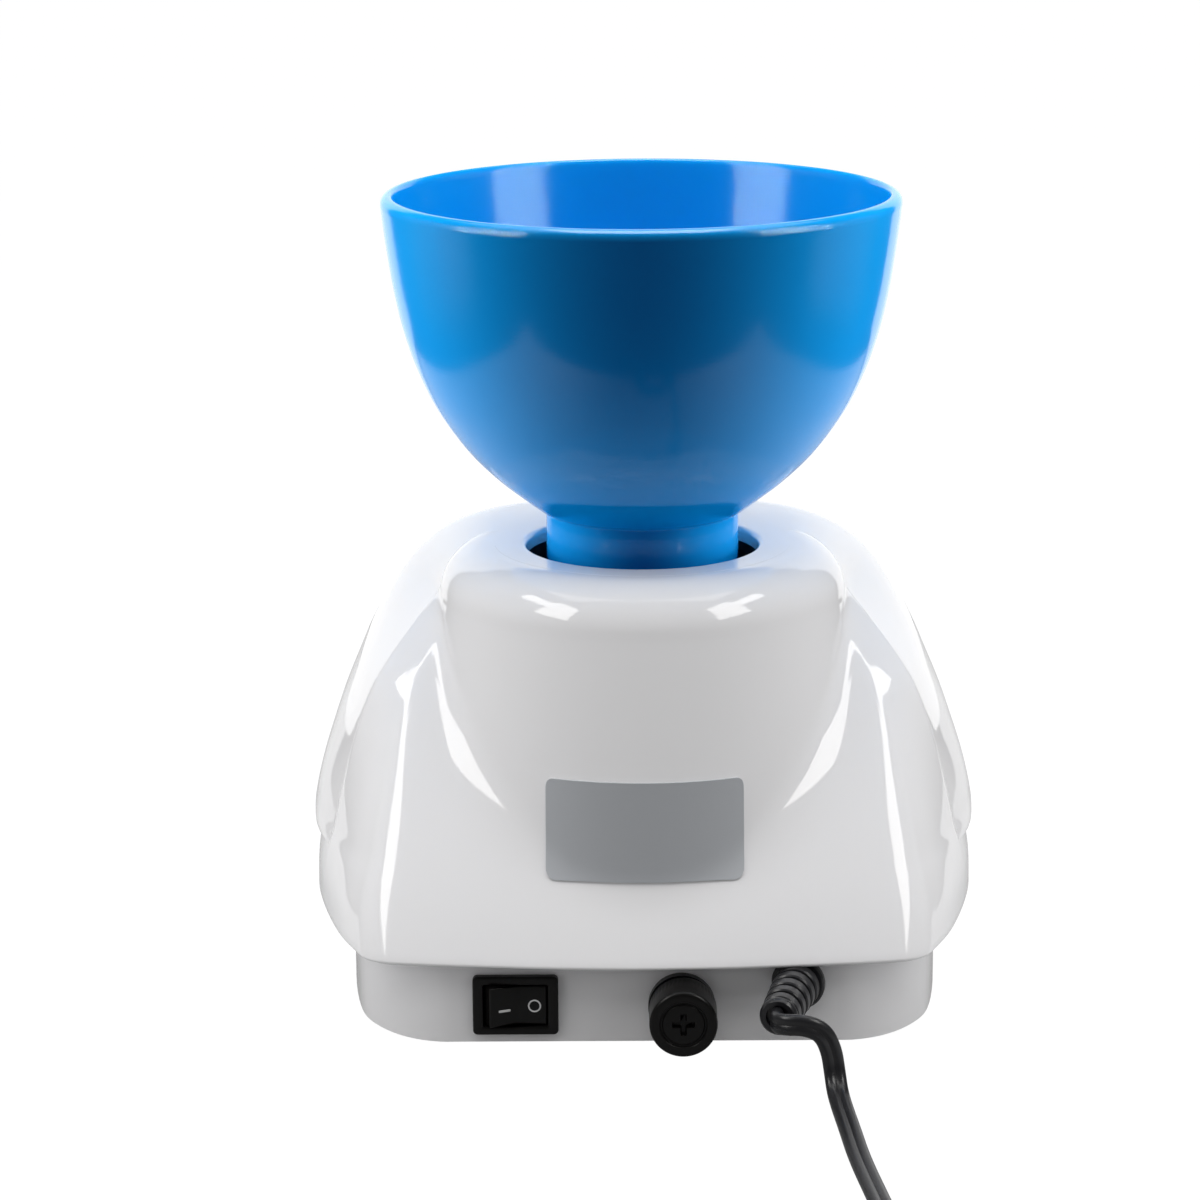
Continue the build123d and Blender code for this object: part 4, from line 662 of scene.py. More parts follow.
def rear_section(z, count=72):
    """Right half of the rear shell's outline at height z, from the middle to the seam; y from the spindle."""
    xc, s = interp(XC, z), seam_y(z)
    depth = 71 * hood_y(z)
    k = (depth - s) / 51.0
    fine = np.linspace(math.pi / 2, math.radians(-32), 1400)
    rt = tower_r(z)
    if z < 108:
        hood = np.stack([lip_rear[:, 0] * xc / 81.9, s + (lip_rear[:, 1] - SEAM) * k], 1)
        more = lip_front[1:60]
        ahead = np.stack([more[:, 0] * xc / 81.9, s + (more[:, 1] - SEAM) * max(0.45, k)], 1)
        hood = np.vstack([hood, ahead])
        ang, rad = np.arctan2(hood[:, 1], hood[:, 0]), np.hypot(hood[:, 0], hood[:, 1])
        keep = [0]
        for i in range(1, len(ang)):
            if ang[i] < ang[keep[-1]] - 1e-4:
                keep.append(i)
        ang, rad = ang[keep], rad[keep]
        rh = np.interp(fine, ang[::-1], rad[::-1])
        # the fillet between dome and tower widens towards the sides
        k_mid, k_side = 3.2, 10.0
        w = np.clip((1.35 - fine) / 0.7, 0, 1)
        blend = k_mid + (k_side - k_mid) * w * w * (3 - 2 * w)
        blend *= min(1.0, max(0.12, (108.5 - z) / 9))
        r = smax(rh, np.full_like(rh, rt), blend)
    else:
        r = np.full_like(fine, rt)
    pts = np.stack([r * np.cos(fine), r * np.sin(fine)], 1)
    i = int(np.nonzero(pts[:, 1] < s)[0][0])
    t = (pts[i - 1, 1] - s) / (pts[i - 1, 1] - pts[i, 1])
    pts = np.vstack([pts[:i], pts[i - 1] + (pts[i] - pts[i - 1]) * t])
    return resample(pts, count)


seam_x = {}


def seam_at(z):
    if z not in seam_x:
        seam_x[z] = float(rear_section(z)[-1, 0])
    return seam_x[z]


NR = 72
rear_levels = list(np.linspace(Z_LIP, Z_WING, 9)) + list(np.linspace(Z_WING, Z_TOP - R_ROUND, 44))[1:]
rear_levels += [Z_TOP - R_ROUND + R_ROUND * math.sin(math.radians(a)) for a in (7, 14, 21, 28, 35, 42, 49, 56, 63, 70, 77, 84)]
verts, faces, index = [], [], {}


def put(key, x, y, z):
    index[key] = len(verts)
    verts.append(at(x, y, z))


full = 2 * NR - 1
for i, z in enumerate(rear_levels):
    half = rear_section(z, NR)
    loop = np.vstack([half[::-1] * (1, 1), (half * (-1, 1))[1:]])  # from the +X seam over the rear to the -X seam
    for j, (x, y) in enumerate(loop):
        put(("r", i, j), x, y, z)
top = len(rear_levels)
for extra, (r, z) in enumerate([(38.6, Z_TOP - 0.02), (37.4, Z_TOP - 0.05), (34.0, Z_TOP - 0.05)]):
    a_end = math.asin(seam_y(Z_TOP) / r)
    for j in range(full):
        a = a_end + (math.pi - 2 * a_end) * j / (full - 1)
        put(("r", top + extra, j), r * math.cos(a), r * math.sin(a), z)
rows = top + 3
for i in range(rows - 1):
    for j in range(full - 1):
        faces.append((index["r", i, j], index["r", i, j + 1], index["r", i + 1, j + 1], index["r", i + 1, j]))
# skirt in front of the seam, and the rabbet under the front hood
NF = 150
front_half = resample(lip_front, NF // 2 + 1)
front_loop = np.vstack([front_half, (front_half * (-1, 1))[::-1][1:]])  # +X seam, round the front, -X seam
n_skirt = 9
lower = []
for i in range(n_skirt):
    z = rear_levels[i]
    s = interp(XC, z) / 81.9
    lower.append([(x * s, y * (s if y < 0 else 1), z) for x, y in front_loop])
shelf = offset(np.array([(p[0], p[1]) for p in lower[-1]]), 0)


def inward(loop2d, amount):
    pts = np.array(loop2d, float)
    t = np.gradient(pts, axis=0)
    t /= np.linalg.norm(t, axis=1, keepdims=True)
    nrm = np.stack([t[:, 1], -t[:, 0]], 1)
    probe = pts + nrm
    if np.mean(np.hypot(probe[:, 0], probe[:, 1])) > np.mean(np.hypot(pts[:, 0], pts[:, 1])):
        nrm = -nrm
    return pts + nrm * amount


flat2d = [(p[0], p[1]) for p in lower[-1]]
for amount, z in ((2.6, Z_WING + 0.4), (2.6, Z_WING + 3.4)):
    lower.append([(x, min(y, SEAM - 0.3), z) for x, y in inward(flat2d, amount)])
for i, loop in enumerate(lower):
    for j, (x, y, z) in enumerate(loop):
        if i < n_skirt and j == 0:
            index["f", i, j] = index["r", i, 0]
        elif i < n_skirt and j == len(loop) - 1:
            index["f", i, j] = index["r", i, full - 1]
        else:
            put(("f", i, j), x, y, z)
for i in range(len(lower) - 1):
    for j in range(len(front_loop) - 1):
        faces.append((index["f", i, j], index["f", i + 1, j], index["f", i + 1, j + 1], index["f", i, j + 1]))


def shell(name, verts, faces, thickness, bevels, slot, body, *nodes):
    """Sheet given thickness inwards, its edges rounded."""
    me = bpy.data.meshes.new(name)
    me.from_pydata([tuple(v) for v in verts], [], faces)
    bm = bmesh.new()
    bm.from_mesh(me)
    bmesh.ops.remove_doubles(bm, verts=bm.verts, dist=1e-6)
    bmesh.ops.recalc_face_normals(bm, faces=bm.faces)
    # outward means away from the middle of the machine
    out = sum(f.normal.dot(f.calc_center_median() - Vector((0, 0.0, 0.05))) * f.calc_area() for f in bm.faces)
    if out < 0:
        bmesh.ops.reverse_faces(bm, faces=bm.faces)
    bm.to_mesh(me)
    bm.free()
    ob = bpy.data.objects.new(name, me)
    scene.collection.objects.link(ob)
    thick = ob.modifiers.new("thickness", "SOLIDIFY")
    thick.thickness, thick.offset, thick.use_rim, thick.use_even_offset = thickness, -1, True, False
    bpy.context.view_layer.update()
    solid = bpy.data.meshes.new_from_object(ob.evaluated_get(bpy.context.evaluated_depsgraph_get()))
    ob.modifiers.clear()
    ob.data = solid
    bm = bmesh.new()
    bm.from_mesh(solid)
    layer = bm.edges.layers.float.get("bevel_weight_edge") or bm.edges.layers.float.new("bevel_weight_edge")
    for e in bm.edges:
        if len(e.link_faces) == 2 and e.calc_face_angle(0) > math.radians(55):
            e[layer] = bevels(e.verts[0].co.lerp(e.verts[1].co, 0.5))
    bm.to_mesh(solid)
    bm.free()
    bevel = ob.modifiers.new("edge", "BEVEL")
    bevel.limit_method, bevel.width, bevel.segments, bevel.use_clamp_overlap = "WEIGHT", 0.0006, 3, False
    bpy.context.view_layer.update()
    final = bpy.data.meshes.new_from_object(ob.evaluated_get(bpy.context.evaluated_depsgraph_get()))
    ob.modifiers.clear()
    ob.data = final
    final.name = name
    final.materials.clear()
    final.materials.append(MAT[slot])
    final.polygons.foreach_set("use_smooth", [True] * len(final.polygons))
    final.set_sharp_from_angle(angle=math.radians(38))
    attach(ob, body)
    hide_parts(*nodes)
    return ob


rear = shell(
    "rear_shell", verts, faces, 0.0022,
    lambda p: 1.0 if p.z < 0.027 else (0.0 if p.z > 0.1125 else 0.2),
    "white_shell", "machine", "rear_housing",
)

# front hood: from the seam round the front, flat facet for the panel
TILT, PANEL_Z, PANEL_Y = math.radians(26), 73.0, -81.6


def wing_half(z, count=130):
    a, c, f, b = interp(WING_A, z), interp(WING_C, z), interp(WING_F, z), interp(WING_B, z)
    y0 = seam_y(z)
    u = np.linspace(0, math.pi / 2, 900)[::-1]
    rear_part = np.stack([a * np.cos(u) ** (2 / 2.2), c + b * np.sin(u) ** (2 / 2.2)], 1)
    w = np.linspace(0, 1, 500) ** 1.6 * math.pi / 2
    front_part = np.stack([a * np.clip(np.cos(w), 0, 1) ** (2 / 3.0), c - (f + c) * np.sin(w) ** (2 / 3.0)], 1)[1:]
    pts = np.vstack([rear_part, front_part])
    i = int(np.nonzero(pts[:, 1] < y0)[0][0])
    t = (pts[i - 1, 1] - y0) / (pts[i - 1, 1] - pts[i, 1])
    first = pts[i - 1] + (pts[i] - pts[i - 1]) * t
    pts = np.vstack([[first], pts[i:]])
    # meets the rear shell flush at the seam
    w = np.clip((pts[:, 1] - (y0 - 42)) / 42, 0, 1)
    w = w * w * (3 - 2 * w)
    pts[:, 0] *= 1 + (seam_at(z) / first[0] - 1) * w
    face_y = PANEL_Y + math.tan(TILT) * (z - PANEL_Z)
    pts[:, 1] = smax(pts[:, 1], np.full(len(pts), face_y), 2.4)
    pts[0, 1] = y0
    return resample(pts, count)


wing_levels = [Z_WING, Z_WING + 0.25, Z_WING + 0.8, Z_WING + 1.7, Z_WING + 3.0]
wing_levels += list(np.linspace(Z_WING + 4.5, 109.4, 44))
wing_levels += [110.6, 111.8, 112.8, 113.6, 114.2, 114.7, 115.05, 115.25, 115.35]
pull = {0: 1.6, 1: 1.0, 2: 0.46, 3: 0.15, 4: 0.02}
verts, faces = [], []
COUNT = 130
cols = 2 * COUNT - 1
for i, z in enumerate(wing_levels):
    half = wing_half(z, COUNT)
    if i in pull:  # rounded lower edge
        moved = inward(half, pull[i])
        fade = np.clip((SEAM - half[:, 1]) / 24, 0, 1)[:, None]
        moved[:, 1] = np.minimum(moved[:, 1], half[:, 1])
        half = half + (moved - half) * fade
        half[-1, 0] = 0.0
    loop = np.vstack([half, (half * (-1, 1))[::-1][1:]])
    for x, y in loop:
        verts.append(at(x, y, z))
rows = len(wing_levels)
last = np.array([(v.x * 1000, v.y * 1000 - AY) for v in verts[-cols:]])
for r in (37.4, 34.0):
    for x, y in last:
        k = min(1.0, r / math.hypot(x, y))
        verts.append(at(x * k, y * k, Z_TOP - 0.05))
    rows += 1
for i in range(rows - 1):
    for j in range(cols - 1):
        faces.append((i * cols + j, i * cols + j + 1, (i + 1) * cols + j + 1, (i + 1) * cols + j))
front = shell(
    "front_shell", verts, faces, 0.0022,
    lambda p: 0.0 if p.z > 0.1125 or p.z < 0.044 else 0.2,
    "white_shell", "machine", "front_hood",
)

# deck ring round the well, with a rolled lip
profile = [(37.6, Z_TOP - 2.5), (37.6, Z_TOP)]
profile += [(r, Z_TOP) for r in (36.5, 35, 33.5, 32.2, 31.4)]
profile += [
    (R_WELL + 1.3 - 1.3 * math.sin(a) + 0.0, Z_TOP - 1.3 + 1.3 * math.cos(a))
    for a in (math.pi / 2 * k / 7 for k in range(8))
]
profile += [(R_WELL, Z_TOP - 3.6), (R_WELL + 1.6, Z_TOP - 3.6), (R_WELL + 1.6, Z_TOP - 2.5)]
deck = lathe("deck_ring", profile, MAT["white_shell"], "machine", 256, closed=True)
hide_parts("top_deck")

# ------------------------------------------------------------------ bowl
BOWL_OUT = [
    (24.4, 120.5), (24.7, 123.0), (26.6, 125.3), (30.8, 128.3), (37.1, 133.4), (44.4, 140.8), (51.4, 150.7), (56.2, 160.5),
    (59.6, 170.4), (61.9, 180.5), (63.5, 190.4), (64.5, 198.0), (65.0, 202.4),
]
BOWL_IN = [
    (61.6, 200.5), (60.9, 194.0), (59.6, 185.0), (57.5, 174.5), (54.6, 165.0), (50.6, 156.0), (45.6, 147.8),
    (39.2, 140.4), (32.6, 135.0), (25.0, 130.8), (17.0, 128.4), (8.0, 127.2), (0.0, 127.0),
]
out_curve = catmull(BOWL_OUT[3:], 8)
in_curve = catmull(BOWL_IN, 8)
in_curve[-1] = (0, 127.0)
foot = rounded(
    [(0.0, 121.0), (20.4, 121.0, 0.6), (20.4, 110.5, 0.7), (24.4, 110.4, 2.0), (24.4, 124.0, 0.7), (25.9, 124.6, 0.8), (30.8, 128.3)],
    closed=False, step=12,
)
rim = []
for k in range(1, 10):
    a = math.radians(4 + 172 * k / 10)
    # outer side fuller than the inner
    c_r, c_z = (62.7, 202.6)
    rim.append((c_r + 2.3 * math.cos(a) if math.cos(a) > 0 else c_r + 0.95 * math.cos(a), c_z + (2.2 if math.cos(a) > 0 else 2.2) * math.sin(a)))
profile = list(foot[:-1]) + [tuple(p) for p in out_curve] + rim + [(61.72, 202.2)] + [tuple(p) for p in in_curve]
bowl = lathe("flexible_bowl", profile, MAT["bowl_blue"], "bowl", 256, angle=50)
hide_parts("mixing_bowl")

# ------------------------------------------------------------------ rating plate, blank
PLATE_HALF, P_LOW, P_HIGH, P_R = math.radians(24.4), 44.2, 68.3, 2.6
outline = rounded(
    [(-1, P_LOW, P_R), (1, P_LOW, P_R), (1, P_HIGH, P_R * 0.8), (-1, P_HIGH, P_R * 0.8)], step=15
)
# corners rounded in true length: work on the unrolled patch
half_w = 24.4 * math.pi / 180 * 57.8
outline = rounded(
    [(-half_w, P_LOW, P_R), (half_w, P_LOW, P_R), (half_w, P_HIGH, 2.0), (-half_w, P_HIGH, 2.0)], step=15
)
verts, faces = [], []
GX, GZ = 41, 17


plate_rows = {}


def plate_point(u, v, lift):
    key = round(v, 3)
    if key not in plate_rows:
        half = rear_section(v, 240)
        plate_rows[key] = (half[:, 0], half[:, 1])
    xs, ys = plate_rows[key]
    a = u / 57.8
    x = 58.2 * math.sin(a)
    y = float(np.interp(abs(x), xs, ys))
    return at(x + lift * math.sin(a), y + lift * math.cos(a), v)


def fits(u, v):
    """Pull a grid point inside the rounded outline."""
    for su in (-1, 1):
        for cv, rad, sv in ((P_LOW, P_R, -1), (P_HIGH, 2.0, 1)):
            cu, cz = su * (half_w - rad), cv - sv * rad
            if su * (u - cu) > 0 and sv * (v - cz) > 0:
                d = math.hypot(u - cu, v - cz)
                if d > rad:
                    return cu + (u - cu) * rad / d, cz + (v - cz) * rad / d
    return u, v


us = [half_w * math.sin(math.pi / 2 * (2 * i / (GX - 1) - 1)) for i in range(GX)]
vs = [(P_LOW + P_HIGH) / 2 + (P_HIGH - P_LOW) / 2 * math.sin(math.pi / 2 * (2 * i / (GZ - 1) - 1)) for i in range(GZ)]
grid = {}
for i, u in enumerate(us):
    for j, v in enumerate(vs):
        uu, vv = fits(u, v)
        grid[i, j] = len(verts)
        verts.append(plate_point(uu, vv, 0.55))
for i in range(GX - 1):
    for j in range(GZ - 1):
        faces.append((grid[i, j], grid[i + 1, j], grid[i + 1, j + 1], grid[i, j + 1]))
border = [(i, 0) for i in range(GX)] + [(GX - 1, j) for j in range(1, GZ)]
border += [(i, GZ - 1) for i in range(GX - 2, -1, -1)] + [(0, j) for j in range(GZ - 2, 0, -1)]
skirt = []
for i, j in border:
    uu, vv = fits(us[i], vs[j])
    skirt.append(len(verts))
    verts.append(plate_point(uu * 1.004, vv, -0.4))
for k in range(len(border)):
    q = (k + 1) % len(border)
    faces.append((grid[border[k]], skirt[k], skirt[q], grid[border[q]]))
faces.append(tuple(skirt))
plate = mesh_piece("blank_plate", verts, faces, MAT["plate_silver"], "machine", 40)
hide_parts("rating_plate")

# ------------------------------------------------------------------ rocker switch
SW = rear_frame(31.9, 13.9)
bezel_o = rounded([(10.5, 7.5, 1.2), (-10.5, 7.5, 1.2), (-10.5, -7.5, 1.2), (10.5, -7.5, 1.2)], step=15)
bezel_i = rounded([(7.9, 5.35, 0.4), (-7.9, 5.35, 0.4), (-7.9, -5.35, 0.4), (7.9, -5.35, 0.4)], step=15)
n = len(bezel_o)
loops = []
for ins, h in edge(2.0, 0.45, low=-0.2):
    loops.append([(u, v, h) for u, v in offset(bezel_o, ins)] if ins else [(u, v, h) for u, v in bezel_o])
bi = [(u, v) for u, v in bezel_i]
loops.append([(u, v, 2.0) for u, v in offset(bi, -0.5)])
loops.append([(u, v, 1.85) for u, v in offset(bi, -0.15)])
loops.append([(u, v, 1.4) for u, v in bi])
loops.append([(u, v, -7.0) for u, v in bi])
verts, faces = [], []
for loop in loops:
    verts += [SW @ Vector(p) / 1000 for p in loop]
for i in range(len(loops) - 1):
    for k in range(n):
        q = (k + 1) % n
        faces.append((i * n + k, i * n + q, (i + 1) * n + q, (i + 1) * n + k))
faces.append(tuple((len(loops) - 1) * n + k for k in range(n)))
back = len(verts)
body_o = rounded([(9.6, 6.45, 0.5), (-9.6, 6.45, 0.5), (-9.6, -6.45, 0.5), (9.6, -6.45, 0.5)], step=15)
for h in (-0.2, -18.0):
    verts += [SW @ Vector((u, v, h)) / 1000 for u, v in body_o]
for k in range(n):
    q = (k + 1) % n
    faces.append((k, q, back + q, back + k))
    faces.append((back + k, back + q, back + n + q, back + n + k))
faces.append(tuple(back + n + k for k in range(n)))
bezel = mesh_piece("switch_bezel", verts, faces, MAT["black_plastic"], "machine", 40)
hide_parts("switch_frame")

PIVOT = Vector((31.9, 71.5, 13.9))  # mm, row frame
LEAN = math.radians(10)


def rocker_point(x, y, z):
    """Local to the pivot before the lean: x along the bench, y out of the wall, z up."""
    return Vector(
        (
            PIVOT.x + x * math.cos(LEAN) - y * math.sin(LEAN),
            PIVOT.y + x * math.sin(LEAN) + y * math.cos(LEAN),
            PIVOT.z + z,
        )
    )


prof = [(-7.0, 4.0, 0.5), (0.0, 2.62, 1.2), (7.0, 4.0, 0.5)]
arc = [(7.75 * math.cos(a), 7.75 * math.sin(a)) for a in np.linspace(math.radians(24), math.radians(-204), 40)]
prof2 = rounded([(-7.15, 3.9, 0.0), (-6.75, 4.15, 0.35), (0.0, 2.66, 5.0), (6.75, 4.15, 0.35), (7.15, 3.9, 0.0)], closed=False, step=3)
rock_outline = list(prof2) + arc
ROCK = Matrix(
    (
        (math.cos(LEAN), -math.sin(LEAN), 0, PIVOT.x),
        (math.sin(LEAN), math.cos(LEAN), 0, PIVOT.y),
        (0, 0, 1, PIVOT.z),
        (0, 0, 0, 1),
    )
)
rock_profile = [(0.45, -5.1), (0.2, -5.0), (0.05, -4.8), (0, -4.5), (0, 4.5), (0.05, 4.8), (0.2, 5.0), (0.45, 5.1)]
rocker = slab("rocker_cap", rock_outline, rock_profile, MAT["black_plastic"], "rocker", ROCK, angle=40)
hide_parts("switch_rocker")
# plain ON and OFF marks on its two faces
slope = (4.15 - 2.66) / 6.75


def face_frame(x, z):
    y = 2.66 + slope * abs(x) + 0.0
    tilt = math.atan(slope) * (1 if x > 0 else -1)
    out_dir = Vector((-math.sin(tilt), math.cos(tilt), 0))
    rot = Matrix.Rotation(LEAN, 3, "Z")
    o = rocker_point(x, y, z)
    return frame_at(o, rot @ Vector((-math.cos(tilt), -math.sin(tilt), 0)), rot @ out_dir)


bar = rounded([(1.55, 0.3, 0.25), (-1.55, 0.3, 0.25), (-1.55, -0.3, 0.25), (1.55, -0.3, 0.25)], step=20)
on_mark = slab("mark_on", bar, [(0, -0.15), (0, 0.06), (0.06, 0.1)], MARK, "rocker", face_frame(3.3, -1.1))
ring_profile = [(1.25, -0.15), (1.25, 0.07), (1.31, 0.11), (1.56, 0.11), (1.62, 0.07), (1.62, -0.15)]
off_mark = lathe("mark_off", ring_profile, MARK, "rocker", 40, face_frame(-4.1, -0.2), closed=True)

# ------------------------------------------------------------------ fuse holder and its cap
FU = rear_frame(-9.05, 13.2)
cap_profile = rounded(
    [
        (0.0, 2.7), (8.3, 2.7, 0.3), (8.3, 14.1, 0.9), (5.85, 14.15, 0.25), (5.6, 13.5, 0.12), (5.2, 13.5, 0.12),
        (4.95, 13.9, 0.25), (0.0, 13.9),
    ],
    closed=False, step=15,
)


def ribbed(r, h, a):
    """Fine grip ribs round the rear of the cap."""
    if 7.9 < r and 3.3 < h < 6.6:
        return r - 0.16 * (0.5 - 0.5 * math.cos(48 * a)), h
    return r, h


dense = []
for (r0, h0), (r1, h1) in zip(cap_profile, cap_profile[1:]):
    steps = max(1, int(math.hypot(r1 - r0, h1 - h0) / 1.6)) if r0 > 7.9 and r1 > 7.9 else 1
    for k in range(steps):
        dense.append((r0 + (r1 - r0) * k / steps, h0 + (h1 - h0) * k / steps))
dense.append(cap_profile[-1])
cap = lathe("fuse_cap_round", dense, MAT["black_plastic"], "fuse_knob", 192, FU, wobble=ribbed, angle=35)
# cross recess cut into the face
cross = [
    (0.72, 2.7, 0.25), (-0.72, 2.7, 0.25), (-0.72, 0.72, 0.2), (-2.7, 0.72, 0.25), (-2.7, -0.72, 0.25), (-0.72, -0.72, 0.2),
    (-0.72, -2.7, 0.25), (0.72, -2.7, 0.25), (0.72, -0.72, 0.2), (2.7, -0.72, 0.25), (2.7, 0.72, 0.25), (0.72, 0.72, 0.2),
]
cutter = slab("cutter", rounded(cross, step=30), [(0.25, 12.5), (0.0, 12.9), (-0.12, 14.6)], MAT["black_plastic"], None, FU)
cut = cap.modifiers.new("cross", "BOOLEAN")
cut.operation, cut.object, cut.solver = "DIFFERENCE", cutter, "EXACT"
bpy.context.view_layer.update()
made = bpy.data.meshes.new_from_object(cap.evaluated_get(bpy.context.evaluated_depsgraph_get()))
if len(made.polygons) > 500:
    cap.modifiers.clear()
    cap.data = made
    made.materials.clear()
    made.materials.append(MAT["black_plastic"])
    made.polygons.foreach_set("use_smooth", [True] * len(made.polygons))
    made.set_sharp_from_angle(angle=math.radians(35))
else:
    cap.modifiers.clear()
bpy.data.objects.remove(cutter)
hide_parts("fuse_cap")

# ------------------------------------------------------------------ operator panel
nz = Vector((0, -math.cos(TILT), math.sin(TILT)))
PANEL = frame_at((0, AY + PANEL_Y, PANEL_Z), (1, 0, 0), nz)
KEYS = {"key_start": -24.0, "key_time": -8.0, "key_speed_down": 8.0, "key_speed_up": 24.0}
outer = rounded([(40, 21, 13), (-40, 21, 13), (-40, -21, 13), (40, -21, 13)], step=7.5)
parts = [slab("", outer, edge(2.0, 0.9, low=-0.6), None, None, PANEL, build=False, caps=(True, False))]
panel = slab("panel_plate", outer, edge(2.0, 0.9, low=-0.6), MAT["panel_grey"], "machine", PANEL, angle=35)
cutters = [slab("cut0", rounded([(18, 16.5, 2), (-18, 16.5, 2), (-18, 0.5, 2), (18, 0.5, 2)], step=15), [(0, -2), (0, 1.7), (-0.4, 2.1), (-0.4, 4)], MAT["panel_grey"], None, PANEL)]
for name, kx in KEYS.items():
    m = PANEL @ Matrix.Translation((kx, -10.0, 0))
    cutters.append(slab("cut_" + name, [(5.8 * math.cos(2 * math.pi * k / 64), 5.8 * math.sin(2 * math.pi * k / 64)) for k in range(64)], [(0, -2), (0, 1.6), (-0.45, 2.05), (-0.45, 4)], MAT["panel_grey"], None, m))
for c in cutters:
    mod = panel.modifiers.new(c.name, "BOOLEAN")
    mod.operation, mod.object, mod.solver = "DIFFERENCE", c, "EXACT"
bpy.context.view_layer.update()
made = bpy.data.meshes.new_from_object(panel.evaluated_get(bpy.context.evaluated_depsgraph_get()))
panel.modifiers.clear()
panel.data = made
made.materials.clear()
made.materials.append(MAT["panel_grey"])
made.polygons.foreach_set("use_smooth", [True] * len(made.polygons))
made.set_sharp_from_angle(angle=math.radians(32))
for c in cutters:
    bpy.data.objects.remove(c)
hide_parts("control_bezel")
window = slab(
    "display_lens", rounded([(17.9, 16.4, 1.9), (-17.9, 16.4, 1.9), (-17.9, 0.6, 1.9), (17.9, 0.6, 1.9)], step=15),
    edge(1.75, 0.3, low=0.3), MAT["display_tint"], "machine", PANEL,
)
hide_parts("display_window")
# unlit seven-segment figures behind the window: two digits
seg_parts = []
for cx in (-6.2, 6.2):
    w, hgt, t = 2.9, 4.6, 0.75
    bars = [(0, hgt, 1), (0, 0, 1), (0, -hgt, 1), (-w, hgt / 2, 0), (w, hgt / 2, 0), (-w, -hgt / 2, 0), (w, -hgt / 2, 0)]
    for bx, by, flat in bars:
        a, b = (w - 0.35, t / 2) if flat else (t / 2, hgt / 2 - 0.35)
        if flat:
            shape = [(-a, 0), (-a + b, -b), (a - b, -b), (a, 0), (a - b, b), (-a + b, b)]
        else:
            shape = [(0, -b), (a, -b + a), (a, b - a), (0, b), (-a, b - a), (-a, -b + a)]
        shape = [(cx + bx + u + 0.08 * (by + v), 8.5 + by + v) for u, v in shape]
        seg_parts.append(slab("", shape, [(0, 1.6), (0, 1.78)], None, None, PANEL, build=False))
digits = join(seg_parts, "display_digits", DIGIT, "machine")

icons = {
    "key_start": [[(-1.5, -1.9), (2.0, 0.0), (-1.5, 1.9)]],
    "key_speed_down": [[(-1.9, -0.32), (1.9, -0.32), (1.9, 0.32), (-1.9, 0.32)]],
    "key_speed_up": [
        [(-1.9, -0.32), (-0.32, -0.32), (-0.32, -1.9), (0.32, -1.9), (0.32, -0.32), (1.9, -0.32), (1.9, 0.32), (0.32, 0.32), (0.32, 1.9), (-0.32, 1.9), (-0.32, 0.32), (-1.9, 0.32)],
    ],
}
for name, kx in KEYS.items():
    m = PANEL @ Matrix.Translation((kx, -10.0, 0))
    prof = rounded([(0.0, -4.0), (2.0, -4.0), (2.0, -2.2), (6.2, -2.2), (6.2, -0.2), (5.4, -0.2), (5.4, 3.2, 0.9), (0.0, 3.0)], closed=False, step=12)
    prof = list(prof[:-1]) + [(4.0, 3.13), (2.4, 3.03), (0.0, 2.98)]
    k = lathe(name + "_cap", prof, MAT["key_blue"], name, 72, m)
    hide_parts(name)
    if name in icons:
        pieces = [slab("", shape, [(0, 2.7), (0, 3.1), (0.08, 3.16)], None, None, m, build=False) for shape in icons[name]]
        join(pieces, name + "_icon", MARK_WHITE, name)
    else:  # clock face: ring and two hands
        parts = []
        ring = []
        verts, faces = [], []
        loop_p = [(1.65, 2.7), (1.65, 3.12), (1.72, 3.16), (2.08, 3.16), (2.15, 3.12), (2.15, 2.7)]
        for r, h in loop_p:
            for q in range(48):
                a = 2 * math.pi * q / 48
                verts.append(m @ Vector((r * math.cos(a), r * math.sin(a), h)) / 1000)
        for i in range(6):
            for q in range(48):
                w = (q + 1) % 48
                a, b = i * 48, ((i + 1) % 6) * 48
                faces.append((a + q, a + w, b + w, b + q))
        parts.append((verts, faces))
        parts.append(slab("", [(-0.18, -0.18), (0.18, -0.18), (0.18, 1.25), (-0.18, 1.25)], [(0, 2.7), (0, 3.14)], None, None, m, build=False))
        parts.append(slab("", [(0.0, -0.17), (1.0, -0.17), (1.0, 0.17), (0.0, 0.17)], [(0, 2.7), (0, 3.13)], None, None, m, build=False))
        join(parts, name + "_icon", MARK_WHITE, name)

# ------------------------------------------------------------------ floor, world and lights
def board(name, x0, y0, x1, y1, z, base, glow):
    me = bpy.data.meshes.new(name)
    me.from_pydata([(x0, y0, z), (x1, y0, z), (x1, y1, z), (x0, y1, z)], [], [(0, 1, 2, 3)])
    ob = bpy.data.objects.new(name, me)
    scene.collection.objects.link(ob)
    mat = bpy.data.materials.new(name)
    mat.use_nodes = True
    p = mat.node_tree.nodes["Principled BSDF"]
    p.inputs["Base Color"].default_value = (base, base, base, 1)
    p.inputs["Roughness"].default_value = 0.9
    p.inputs["Specular IOR Level"].default_value = 0.0
    p.inputs["Emission Color"].default_value = (1, 1, 1, 1)
    p.inputs["Emission Strength"].default_value = glow
    me.materials.append(mat)
    return ob


# the pale floor that is seen, and the white board that lights the machine from below
floor = board("floor", -4, -4, 4, 4, -0.0004, 0.05, 1.0)
floor.visible_diffuse = floor.visible_glossy = floor.visible_transmission = False
bounce = board("bounce_board", -0.31, -0.42, 0.31, 0.240, -0.0006, 0.25, 0.4)
bounce.visible_camera = False
bounce.visible_shadow = False
